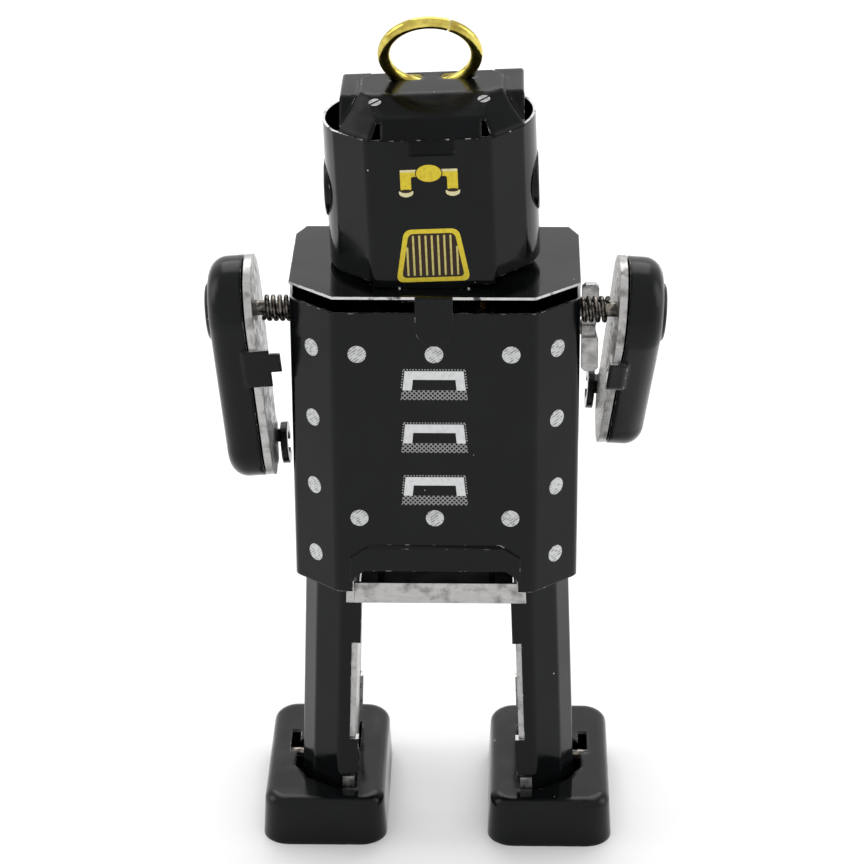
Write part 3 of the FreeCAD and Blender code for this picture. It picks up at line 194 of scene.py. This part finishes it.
def black_paint(name, softness, varnish=VARNISH):
    """Glossy black enamel on pressed tin, with folds this soft: smudges, chips and specks."""
    shader = Shader(name)
    worn = shader.math("MULTIPLY", shader.edges(0.16 * MM, 0.80, 0.97),
                       shader.span(shader.noise(0.9 * MM, 4), 0.57, 0.65))
    chips = shader.math("MAXIMUM", worn, shader.specks(1.9 * MM, 0.085 * MM, 0.10))
    chips = shader.math("MAXIMUM", chips, shader.specks(0.9 * MM, 0.045 * MM, 0.05))
    ink = shader.mix(shader.noise(4 * MM), grey(0.0016, -0.1), grey(0.0042, -0.15))
    smudge = shader.span(shader.noise(3.5 * MM, 5), 0.42, 0.70, 0.07, 0.24)
    rough = shader.math("MAXIMUM", smudge, shader.span(chips, 0, 1, 0, 0.38))
    shader.set(Base_Color=shader.mix(chips, ink, grey(0.62, 0.03)), Roughness=rough,
               Metallic=shader.span(chips, 0, 1, 0, 0.85), IOR=varnish)
    shader.bump([(shader.noise(9 * MM, 1), 0.16 * MM), (shader.noise(0.55 * MM, 2), 0.0035 * MM),
                 (shader.math("SUBTRACT", 1.0, chips), 0.012 * MM)],
                shader.soft_normal(softness))
    return shader.material


def bare_tin():
    """Bright tinplate: rolled streaks, grey stains and fine scratches."""
    shader = Shader("bare_tinplate")
    streaks = shader.noise(1.0, 4, shader.stretched((900, 900, 5200)))
    stain = shader.span(shader.noise(1.4 * MM, 5), 0.50, 0.74)
    bright = shader.mix(streaks, grey(0.36, 0.012), grey(0.54, 0.012))
    shader.set(Base_Color=shader.mix(stain, bright, grey(0.12, 0.06)), Metallic=1.0,
               Roughness=shader.span(shader.noise(0.8 * MM, 4), 0.3, 0.7, 0.22, 0.46))
    shader.bump([(streaks, 0.006 * MM), (shader.noise(2.6 * MM, 2), 0.05 * MM)],
                shader.soft_normal(0.08 * MM))
    return shader.material


def cut_tin():
    """The bright sheared edge of the sheet, with paint smeared over parts of it."""
    shader = Shader("sheared_tin_edge")
    smear = shader.span(shader.noise(1.1 * MM, 4), 0.56, 0.66)
    grain = shader.mix(shader.noise(0.25 * MM), grey(0.46, 0.01), grey(0.74, 0.01))
    shader.set(Base_Color=shader.mix(smear, grain, grey(0.05)),
               Metallic=shader.span(smear, 0, 1, 1, 0.3),
               Roughness=shader.span(shader.noise(0.5 * MM), 0.3, 0.7, 0.25, 0.45))
    shader.bump([(shader.noise(0.18 * MM), 0.01 * MM)])
    return shader.material


def inner_tin():
    """The dull inside of the pressed sheets, painted nearly black as painted shade."""
    shader = Shader("inner_tin_painted_shade")
    blotch = shader.noise(2.2 * MM, 4)
    # painted shade: a near-black base colour for the insides, with random blotches of tone
    shader.set(Base_Color=shader.mix(blotch, grey(0.002, 0.05), grey(0.007, 0.06)), IOR=1.16,
               Roughness=shader.span(blotch, 0.3, 0.7, 0.38, 0.6))
    shader.bump([(shader.noise(0.6 * MM), 0.01 * MM)])
    return shader.material


def dark_steel():
    """Blued spring steel and blackened pins, with brown-grey wear."""
    shader = Shader("blackened_steel")
    worn = shader.span(shader.noise(0.5 * MM, 4), 0.44, 0.62)
    shader.set(Base_Color=shader.mix(worn, grey(0.055, 0.05), grey(0.30, 0.12)), Metallic=0.95,
               Roughness=shader.span(worn, 0, 1, 0.24, 0.42))
    shader.bump([(shader.noise(0.3 * MM, 3), 0.01 * MM)])
    return shader.material


def ring_brass():
    """Polished brass wire, a little tarnished, with fine drawn lines."""
    shader = Shader("polished_brass_wire")
    tarnish = shader.span(shader.noise(1.6 * MM, 5), 0.48, 0.72)
    base = shader.mix(shader.noise(0.7 * MM), (0.62, 0.50, 0.09, 1), (0.78, 0.66, 0.17, 1))
    shader.set(Base_Color=shader.mix(tarnish, base, (0.36, 0.27, 0.05, 1)), Metallic=1.0,
               Roughness=shader.span(shader.noise(0.9 * MM, 4), 0.3, 0.7, 0.10, 0.27))
    shader.bump([(shader.noise(1.3 * MM, 3), 0.05 * MM), (shader.noise(0.2 * MM), 0.003 * MM)])
    return shader.material


def gear_brass():
    """Stamped brass wheels: brushed, oily in places."""
    shader = Shader("stamped_wheel_brass")
    oil = shader.span(shader.noise(1.5 * MM, 4), 0.5, 0.66)
    colour = shader.mix(oil, (0.60, 0.44, 0.17, 1), (0.22, 0.15, 0.06, 1))
    shader.set(Base_Color=colour, Metallic=1.0, Roughness=shader.span(oil, 0, 1, 0.36, 0.22))
    shader.bump([(shader.noise(1.0, 3, shader.stretched((900, 6000, 900))), 0.004 * MM)])
    return shader.material


def ink(name, colour, shade, patchy=0.10):
    """Printed ink under the same varnish, a little uneven."""
    shader = Shader(name)
    uneven = shader.span(shader.noise(0.35 * MM, 4), 0.45, 0.75, 0, patchy * 6)
    shader.set(Base_Color=shader.mix(uneven, colour, shade), IOR=VARNISH,
               Roughness=shader.span(shader.noise(1.5 * MM, 3), 0.3, 0.7, 0.16, 0.30))
    shader.bump([(shader.noise(0.5 * MM), 0.003 * MM)])
    return shader.material


def hatched_ink():
    """Light grey rivet print, scribbled over with short dark strokes."""
    shader = Shader("scribbled_grey_ink")
    shake = shader.span(shader.noise(0.30 * MM, 3), 0.3, 0.7, -0.75, 0.45)
    strokes = shader.math("ADD", shader.stripes((1, -0.6, 1.3), 0.21 * MM), shake)
    dark = shader.span(strokes, 0.62, 0.86)
    shader.set(Base_Color=shader.mix(dark, grey(0.56, -0.01), grey(0.20)), IOR=VARNISH,
               Roughness=shader.span(shader.noise(1.5 * MM), 0.3, 0.7, 0.2, 0.34))
    shader.bump([(dark, 0.002 * MM)])
    return shader.material


def halftone_ink():
    """A crossed halftone screen of pale lines over black."""
    shader = Shader("halftone_ink")
    pitch = 0.30 * MM
    screen = shader.math("MAXIMUM", shader.stripes((1, 0, 1), pitch),
                         shader.stripes((1, 0, -1), pitch))
    dots = shader.span(screen, 0.72, 0.92)
    shader.set(Base_Color=shader.mix(dots, grey(0.008), grey(0.30)), IOR=VARNISH,
               Roughness=shader.span(shader.noise(1.5 * MM), 0.3, 0.7, 0.2, 0.34))
    shader.bump([(dots, 0.002 * MM)])
    return shader.material


PAINT = black_paint("folded_black_enamel", 0.22 * MM)
DRAWN_PAINT = black_paint("drawn_black_enamel", 0.60 * MM)
CAP_PAINT = black_paint("cap_black_enamel", 0.60 * MM, CAP_VARNISH)
BARE, CUT, INNER = bare_tin(), cut_tin(), inner_tin()
STEEL, BRASS, WHEEL = dark_steel(), ring_brass(), gear_brass()
WHITE_INK = ink("white_ink", grey(0.66, -0.01), grey(0.48, -0.01))
YELLOW_INK = ink("yellow_ink", (0.66, 0.52, 0.035, 1), (0.42, 0.32, 0.02, 1))
CREAM_INK = ink("cream_ink", (0.68, 0.62, 0.36, 1), (0.46, 0.40, 0.20, 1))
STRAW_INK = ink("straw_ink", (0.54, 0.47, 0.15, 1), (0.32, 0.27, 0.08, 1))
FADED_INK = ink("faded_white_ink", grey(0.48), grey(0.16), 0.16)
BROWN_INK = ink("brown_ink", (0.030, 0.016, 0.008, 1), (0.014, 0.008, 0.005, 1))
RIVET_INK, SCREEN_INK = hatched_ink(), halftone_ink()


# ---------------------------------------------------------------- finishes of the CAD nodes

def give(node, *materials):
    """Replace the materials of a CAD node."""
    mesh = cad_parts[node].data
    mesh.materials.clear()
    for material in materials:
        mesh.materials.append(material)


def smooth(node, angle=28):
    """Shade curved faces smoothly and keep folds sharper than the angle."""
    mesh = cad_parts[node].data
    mesh.shade_smooth()
    mesh.set_sharp_from_angle(angle=math.radians(angle))


PAINTED, INSIDE, SHEARED = 0, 1, 2          # material places on a painted sheet


def is_walled(skin, face, thickness):
    """True where a face has a sheet's other side close behind it."""
    start = face.center - face.normal * 0.004 * MM
    reach = skin.ray_cast(start, -face.normal)[3]
    return reach is not None and reach < 2.4 * thickness


def is_sheared(skin, face, thickness):
    """True on the narrow cut edge of a sheet: deep behind the face, but thin across it."""
    if is_walled(skin, face, thickness):
        return False
    inside = face.center - face.normal * 0.4 * thickness
    first = face.normal.orthogonal().normalized()
    ways = 8
    for step in range(ways):
        turn = Matrix.Rotation(math.pi * step / ways, 3, face.normal)
        way = turn @ first
        reaches = [skin.ray_cast(inside, way * sign)[3] for sign in (1, -1)]
        if None not in reaches and sum(reaches) < 1.8 * thickness:
            return True
    return False


def finish_sheet(node, thickness):
    """Paint a pressed sheet outside, give its inside the near-black painted shade, and leave its
    sheared edges bright.
    """
    drawn = node.endswith(("arm_shell", "foot_shell"))
    paint = CAP_PAINT if node == "head_cap" else DRAWN_PAINT if drawn else PAINT
    give(node, paint, INNER, CUT)
    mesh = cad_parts[node].data
    core = centre_of(node)
    skin = BVHTree.FromObject(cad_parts[node], bpy.context.evaluated_depsgraph_get())
    for face in mesh.polygons:
        folded_arch = node == "torso_back_shell" and face.center.z < ARCH_TOP
        if not folded_arch and is_sheared(skin, face, thickness):
            face.material_index = SHEARED
        # inside faces get the near-black material: painted shade
        elif is_walled(skin, face, thickness) and face.normal.dot(core - face.center) > 0:
            face.material_index = INSIDE


def finish_base_plate():
    """Bright flange behind the legs; everything inside it, and every face looking up, painted
    dark as painted shade.
    """
    give("base_plate", BARE, INNER)
    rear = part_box("base_plate")[1][1] - FLANGE_SETBACK
    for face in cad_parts["base_plate"].data.polygons:
        # painted shade: faces inside the flange, and faces looking up, take the near-black
        # material
        in_painted_shade = face.center.y < rear or face.normal.z > 0.7
        face.material_index = 1 if in_painted_shade else 0


def paint_shade_on_right_plate():
    """The right arm's plate is painted dark on the face that looks at the torso: painted shade
    and a painted reflection of the dark torso.
    """
    give("right_arm_plate", BARE, STEEL)
    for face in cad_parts["right_arm_plate"].data.polygons:
        # painted shade and reflection: the face looking at the torso takes the dark steel
        # material
        face.material_index = 1 if face.normal.x > 0.9 else 0


SHEETS = ["torso_back_shell", "torso_front_shell", "shoulder_plate", "head_shell", "head_cap"]
SHEETS += [f"{side}_{part}" for side in ("left", "right")
           for part in ("arm_shell", "leg_channel", "foot_shell")]
FLAT_METAL = [f"{side}_{part}" for side in ("left", "right")
              for part in ("arm_plate", "leg_plate", "foot_sole")]
WHEELS = ["great_wheel", "second_wheel", "crank_wheel", "escape_wheel", "ratchet_wheel"]


def finish_nodes():
    """Give every CAD node its shading and its materials."""
    bpy.context.view_layer.update()
    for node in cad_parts:
        smooth(node)
        if node in SHEETS:
            finish_sheet(node, FOOT_SHEET if "foot" in node else SHEET)
        elif node == "base_plate":
            finish_base_plate()
        elif node == "right_arm_plate":
            paint_shade_on_right_plate()
        elif node in FLAT_METAL or node == "winding_key":
            give(node, BARE)
        elif node.endswith("claw"):
            give(node, PAINT)
        # the motor plates take the near-black inner material: painted shade inside the torso
        elif node.endswith("motor_plate"):
            give(node, INNER)
        elif node in WHEELS:
            give(node, WHEEL)
        elif node == "hanging_ring":
            give(node, BRASS)
        else:
            give(node, STEEL)


# ---------------------------------------------------------------- prints

def wall(origin, normal, tilt=None):
    """Axes of a print: u to the viewer's right, v up the surface, w outwards."""
    outward = Vector(normal).normalized()
    side = Z_AXIS.cross(outward).normalized()
    up = outward.cross(side)
    axes = Matrix((side, up, outward)).transposed().to_4x4()
    placed = Matrix.Translation(origin) @ axes
    return placed if tilt is None else tilt @ placed


def disc(u, v, wide, high=None, count=36):
    """An ellipse of points about (u, v)."""
    high = wide if high is None else high
    turns = [2 * math.pi * step / count for step in range(count)]
    return [(u + wide * math.cos(turn), v + high * math.sin(turn)) for turn in turns]


def block(u_low, u_high, v_low, v_high):
    """The corners of a rectangle."""
    return [(u_low, v_low), (u_high, v_low), (u_high, v_high), (u_low, v_high)]


def eased(corners, radius, steps=6):
    """The outline with every corner rounded over this distance along its sides."""
    points = []
    count = len(corners)
    for place, corner in enumerate(corners):
        here = Vector(corner)
        before = Vector(corners[place - 1]) - here
        after = Vector(corners[(place + 1) % count]) - here
        reach = min(radius, before.length * 0.48, after.length * 0.48)
        start = here + before.normalized() * reach
        end = here + after.normalized() * reach
        for step in range(steps + 1):
            part = step / steps
            point = start.lerp(here, part).lerp(here.lerp(end, part), part)
            points.append((point.x, point.y))
    return points


INK_STEP = 0.012 * MM                       # one layer of ink


def print_layer(name, patches, material, layer=1, body="torso"):
    """Thin closed films of ink: (axes, outline in millimetres) pairs, one layer thick each."""
    mesh = bpy.data.meshes.new(name)
    shape = bmesh.new()
    for axes, outline in patches:
        top = [shape.verts.new(axes @ Vector((u * MM, v * MM, layer * INK_STEP)))
               for u, v in outline]
        bottom = [shape.verts.new(axes @ Vector((u * MM, v * MM, -INK_STEP)))
                  for u, v in outline]
        shape.faces.new(top)
        shape.faces.new(list(reversed(bottom)))
        for place in range(len(outline)):
            after = (place + 1) % len(outline)
            shape.faces.new((top[place], bottom[place], bottom[after], top[after]))
    bmesh.ops.recalc_face_normals(shape, faces=shape.faces)
    bmesh.ops.triangulate(shape, faces=[face for face in shape.faces if len(face.verts) > 4])
    shape.to_mesh(mesh)
    shape.free()
    mesh.materials.append(material)
    piece = bpy.data.objects.new(name, mesh)
    bpy.context.scene.collection.objects.link(piece)
    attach(piece, body)
    return piece


def torso_walls():
    """Print axes of the torso's back, its two chamfers and its front, at Z = 0."""
    back = wall((0, TORSO_BACK, 0), Y_AXIS)
    front = wall((0, TORSO_FRONT, 0), -Y_AXIS)
    sides = []
    for mirror in (1, -1):
        normal = Vector((mirror * CHAMFER_NORMAL.x, CHAMFER_NORMAL.y, 0))
        origin = Vector((mirror * CHAMFER_MIDDLE.x, CHAMFER_MIDDLE.y, 0))
        sides.append(wall(origin, normal))
    return back, front, sides


RIVET_DOT = 0.83


def torso_prints():
    """Rivet dots round the back and three printed louvres down its middle; gives the front."""
    back, front, chamfers = torso_walls()
    across = 6.95
    dots = [(back, disc(u, v, RIVET_DOT)) for v in (52.0, 35.5) for u in (-across, 0, across)]
    dots += [(side, disc(0, v, RIVET_DOT)) for side in chamfers for v in (51.9, 44.9, 38.0, 31.0)]
    print_layer("back_rivet_prints", dots, RIVET_INK)
    bands, brackets, fringe = [], [], []
    speck, pitch = 0.065, 0.27
    for top in (50.37, 45.06, 39.72):
        bar, foot, base = top - 0.85, top - 1.90, top - 2.86
        bands.append((back, [(-3.06, base), (3.06, base), (2.92, foot), (-2.92, foot)]))
        half = [(2.66, top), (2.86, foot), (2.03, foot), (1.93, bar)]
        brackets.append((back, [(-u, v) for u, v in half] + half[::-1]))
        for step in range(-10, 11):
            fringe.append((back, disc(step * pitch, top + 0.14, speck, count=8)))
        for step in range(7):
            for side in (1, -1):
                place = side * (2.80 + 0.027 * step)
                fringe.append((back, disc(place, top - step * pitch, speck, count=8)))
    print_layer("louvre_bands", bands, SCREEN_INK)
    print_layer("louvre_brackets", brackets, WHITE_INK, 2)
    print_layer("louvre_fringes", fringe, FADED_INK)
    return front


def grille(axes, low, high, half_low, half_high, bars, names):
    """A rounded trapezoid frame round a dark field with upright bars."""
    frame_wide = 0.42
    outline = [(-half_low, low), (half_low, low), (half_high, high), (-half_high, high)]
    print_layer(f"{names}_frame", [(axes, eased(outline, 0.75))], YELLOW_INK)
    slope = (half_low - half_high) / (high - low)
    inner_low, inner_high = low + frame_wide, high - frame_wide
    margin = frame_wide * 1.08

    def half_at(v):
        return half_low - margin - slope * (v - low)

    field = [(-half_at(inner_low), inner_low), (half_at(inner_low), inner_low),
             (half_at(inner_high), inner_high), (-half_at(inner_high), inner_high)]
    print_layer(f"{names}_field", [(axes, eased(field, 0.5))], BROWN_INK, 2)
    pitch = 2 * half_at(inner_low) / (bars + 1.1)
    strips = []
    for number in range(bars):
        u = (number - (bars - 1) / 2) * pitch
        reach = (half_low - margin - 0.06 - abs(u)) / slope + low
        top = min(inner_high - 0.16, reach)
        strips.append((axes, eased(block(u - 0.09, u + 0.09, inner_low + 0.18, top), 0.08)))
    print_layer(f"{names}_bars", strips, STRAW_INK, 3)


def pipe_emblem(axes, middle):
    """A plain oval with a bent pipe and a cup on each side."""
    oval = disc(0, middle, 1.13, 0.80)
    shadow = disc(0, middle, 1.22, 0.88)
    pipes, lights, cups, shades = [], [], [], []
    for side in (1, -1):
        outer, inner = side * 2.55, side * 1.60
        top, bend, end = middle + 0.36, middle - 0.30, middle - 1.62
        pipes.append((axes, eased([(side * 0.9, top), (outer, top), (outer, end), (inner, end),
                                   (inner, bend), (side * 0.9, bend)], 0.22)))
        lights.append((axes, eased([(side * 1.1, top), (outer, top), (outer, top - 0.22),
                                    (side * 1.1, top - 0.22)], 0.1)))
        centre = (outer + inner) / 2
        cups.append((axes, eased([(centre - 0.66, end + 0.02), (centre - 0.6, end - 0.38),
                                  (centre - 0.2, end - 0.58), (centre + 0.2, end - 0.58),
                                  (centre + 0.6, end - 0.38), (centre + 0.66, end + 0.02),
                                  (centre, end - 0.18)], 0.16)))
        shades.append((axes, disc(centre, end - 0.02, 0.5, 0.16)))
    print_layer("pipe_emblem_elbows", pipes, YELLOW_INK)
    print_layer("pipe_emblem_lights", lights, CREAM_INK, 2)
    print_layer("pipe_emblem_cups", cups, CREAM_INK, 2)
    print_layer("pipe_emblem_shades", shades, BROWN_INK, 3)
    print_layer("pipe_emblem_outline", [(axes, shadow)], BROWN_INK, 3)
    print_layer("pipe_emblem_oval", [(axes, oval)], YELLOW_INK, 4)


def cap_screws():
    """Two printed slotted screw heads at the top of the cap's back slope."""
    slope, reach, aside = (0, 1.35, 2.8), 4.83, 0.12
    halves, radius, slot, squat = [], 0.53, 0.10, 0.8
    bow = [math.pi * (step / 16) for step in range(17)]
    slant = Matrix.Rotation(math.radians(38), 2)
    for u in (reach, -reach):
        place = ((u + aside) * MM, 3.7 * MM, HEAD_HIGH + 2.44 * MM)
        axes = wall(place, slope, CAP_FRAME)
        for way in (1, -1):
            outline = [(radius * math.cos(turn), way * (slot + (radius - slot) * math.sin(turn)))
                       for turn in bow]
            turned = [slant @ Vector(point) for point in outline]
            halves.append((axes, [(point.x, point.y * squat) for point in turned]))
    print_layer("cap_screw_prints", halves, FADED_INK)


def face_prints(axes):
    """A plain face of round lamps and a slotted mouth."""
    rims, lamps, pupils = [], [], []
    eye_high = 9.2
    for u in (-2.6, 2.6):
        rims.append((axes, disc(u, eye_high, 1.75)))
        lamps.append((axes, disc(u, eye_high, 1.40)))
        pupils.append((axes, disc(u, eye_high, 0.62)))
    print_layer("eye_rims", rims, YELLOW_INK)
    print_layer("eye_lamps", lamps, CREAM_INK, 2)
    print_layer("eye_pupils", pupils, BROWN_INK, 3)
    print_layer("mouth_plate", [(axes, eased(block(-3.1, 3.1, 2.4, 5.4), 0.7))], YELLOW_INK)
    slots = [(axes, eased(block(-2.6, 2.6, v, v + 0.42), 0.2)) for v in (2.9, 3.7, 4.5)]
    print_layer("mouth_slots", slots, BROWN_INK, 2)


def chest_prints(front):
    """Generic chest panel: a dial with plain ticks, two lamps and a row of rivets."""
    columns = (-10.2, -5.1, 0, 5.1, 10.2)
    dots = [(front, disc(u, v, RIVET_DOT)) for v in (53.4, 33.0) for u in columns]
    print_layer("front_rivet_prints", dots, RIVET_INK)
    print_layer("chest_panel", [(front, eased(block(-8.2, 8.2, 36.0, 50.5), 1.4))], SCREEN_INK)
    print_layer("chest_field", [(front, eased(block(-7.7, 7.7, 36.5, 50.0), 1.1))], PAINT, 2)
    dial_u, dial_v = -3.4, 45.2
    print_layer("dial_rim", [(front, disc(dial_u, dial_v, 3.3))], YELLOW_INK, 3)
    print_layer("dial_face", [(front, disc(dial_u, dial_v, 2.9))], CREAM_INK, 4)
    ticks = []
    for number in range(9):
        turn = math.radians(210 - 30 * number)
        near, far = 2.1, 2.6
        along = Vector((math.cos(turn), math.sin(turn)))
        across = Vector((-along.y, along.x)) * 0.09
        hub = Vector((dial_u, dial_v))
        corners = [hub + along * near - across, hub + along * far - across,
                   hub + along * far + across, hub + along * near + across]
        ticks.append((front, [(corner.x, corner.y) for corner in corners]))
    needle = [(-3.55, dial_v - 0.1), (-3.3, dial_v - 0.15), (-1.9, dial_v + 1.7)]
    print_layer("dial_marks", ticks + [(front, needle)], BROWN_INK, 5)
    lamp_u, lamp_rows = 4.3, (47.2, 43.2)
    lamps = [(front, disc(lamp_u, v, 1.25)) for v in lamp_rows]
    cores = [(front, disc(lamp_u, v, 0.85)) for v in lamp_rows]
    print_layer("chest_lamps", lamps, WHITE_INK, 3)
    print_layer("chest_lamp_cores", cores, YELLOW_INK, 4)
    vents = [(front, eased(block(-6.2, 6.2, v, v + 0.5), 0.22)) for v in (38.0, 39.2, 40.4)]
    print_layer("chest_vents", vents, WHITE_INK, 3)


def head_prints():
    """The prints on the back of the head, on its cap and on its face."""
    rear = wall((0, HEAD_FACE, 0), Y_AXIS, HEAD_FRAME)
    grille(rear, 0.75, 5.80, 3.34, 2.44, 9, "rear_grille")
    pipe_emblem(rear, 11.1)
    cap_screws()
    face_prints(wall((0, -HEAD_FACE, 0), -Y_AXIS, HEAD_FRAME))


# ---------------------------------------------------------------- camera, floor and light

def aim(thing, place, target, roll=0.0):
    """Put a camera or light at a place and point it at a target."""
    look = (Vector(target) - Vector(place)).to_track_quat("-Z", "Y").to_matrix().to_4x4()
    thing.matrix_world = Matrix.Translation(place) @ look @ Matrix.Rotation(roll, 4, "Z")


def add_camera():
    """Behind the robot and above it, with a long lens."""
    camera = bpy.data.objects.new("camera", bpy.data.cameras.new("camera"))
    camera.data.sensor_width = 36
    camera.data.lens = 133.3
    camera.data.clip_start = 0.01
    target = Vector((0.22 * MM, TORSO_BACK, 44.3 * MM))
    drop, distance, yaw = math.radians(25.5), 291 * MM, math.radians(1.5)
    away = Vector((-math.sin(yaw) * math.cos(drop), math.cos(yaw) * math.cos(drop),
                   math.sin(drop)))
    aim(camera, target + away * distance, target, roll=math.radians(-0.35))
    bpy.context.scene.collection.objects.link(camera)
    bpy.context.scene.camera = camera


def add_light(name, place, target, wide, high, power):
    """A soft rectangular studio light."""
    data = bpy.data.lights.new(name, "AREA")
    data.shape = "RECTANGLE"
    data.size, data.size_y = wide, high
    data.energy = power
    light = bpy.data.objects.new(name, data)
    aim(light, place, target)
    bpy.context.scene.collection.objects.link(light)


def pale_floor():
    """A large plain floor, nearly white."""
    shader = Shader("pale_floor")
    shader.set(Base_Color=shader.mix(shader.noise(30 * MM, 3), grey(0.86), grey(0.89)),
               Roughness=shader.span(shader.noise(12 * MM, 3), 0.3, 0.7, 0.55, 0.7))
    shader.bump([(shader.noise(2 * MM, 3), 0.01 * MM)])
    mesh = bpy.data.meshes.new("floor")
    shape = bmesh.new()
    bmesh.ops.create_grid(shape, x_segments=8, y_segments=8, size=1.5)
    shape.to_mesh(mesh)
    shape.free()
    mesh.materials.append(shader.material)
    floor = bpy.data.objects.new("floor", mesh)
    bpy.context.scene.collection.objects.link(floor)


def add_world():
    """Even white light from all round."""
    world = bpy.data.worlds.new("studio")
    world.use_nodes = True
    background = world.node_tree.nodes["Background"]
    background.inputs["Color"].default_value = (1, 1, 1, 1)
    background.inputs["Strength"].default_value = 0.92
    bpy.context.scene.world = world
    bpy.context.scene.view_settings.view_transform = "Standard"


def light_studio():
    """The floor, the even light and four softboxes aimed at the toy's middle."""
    add_world()
    pale_floor()
    middle = Vector((0, 0, 40 * MM))
    add_light("top_softbox", (0, -0.55, 0.75), middle, 0.8, 0.6, 3.4)
    add_light("front_softbox", (0, -0.95, 0.50), middle, 1.4, 0.5, 0.5)
    add_light("left_softbox", (0.70, -0.1, 0.35), middle, 0.35, 0.5, 1.2)
    add_light("right_softbox", (-0.75, -0.1, 0.30), middle, 0.35, 0.5, 1.2)


finish_nodes()
chest_prints(torso_prints())
head_prints()
add_camera()
light_studio()
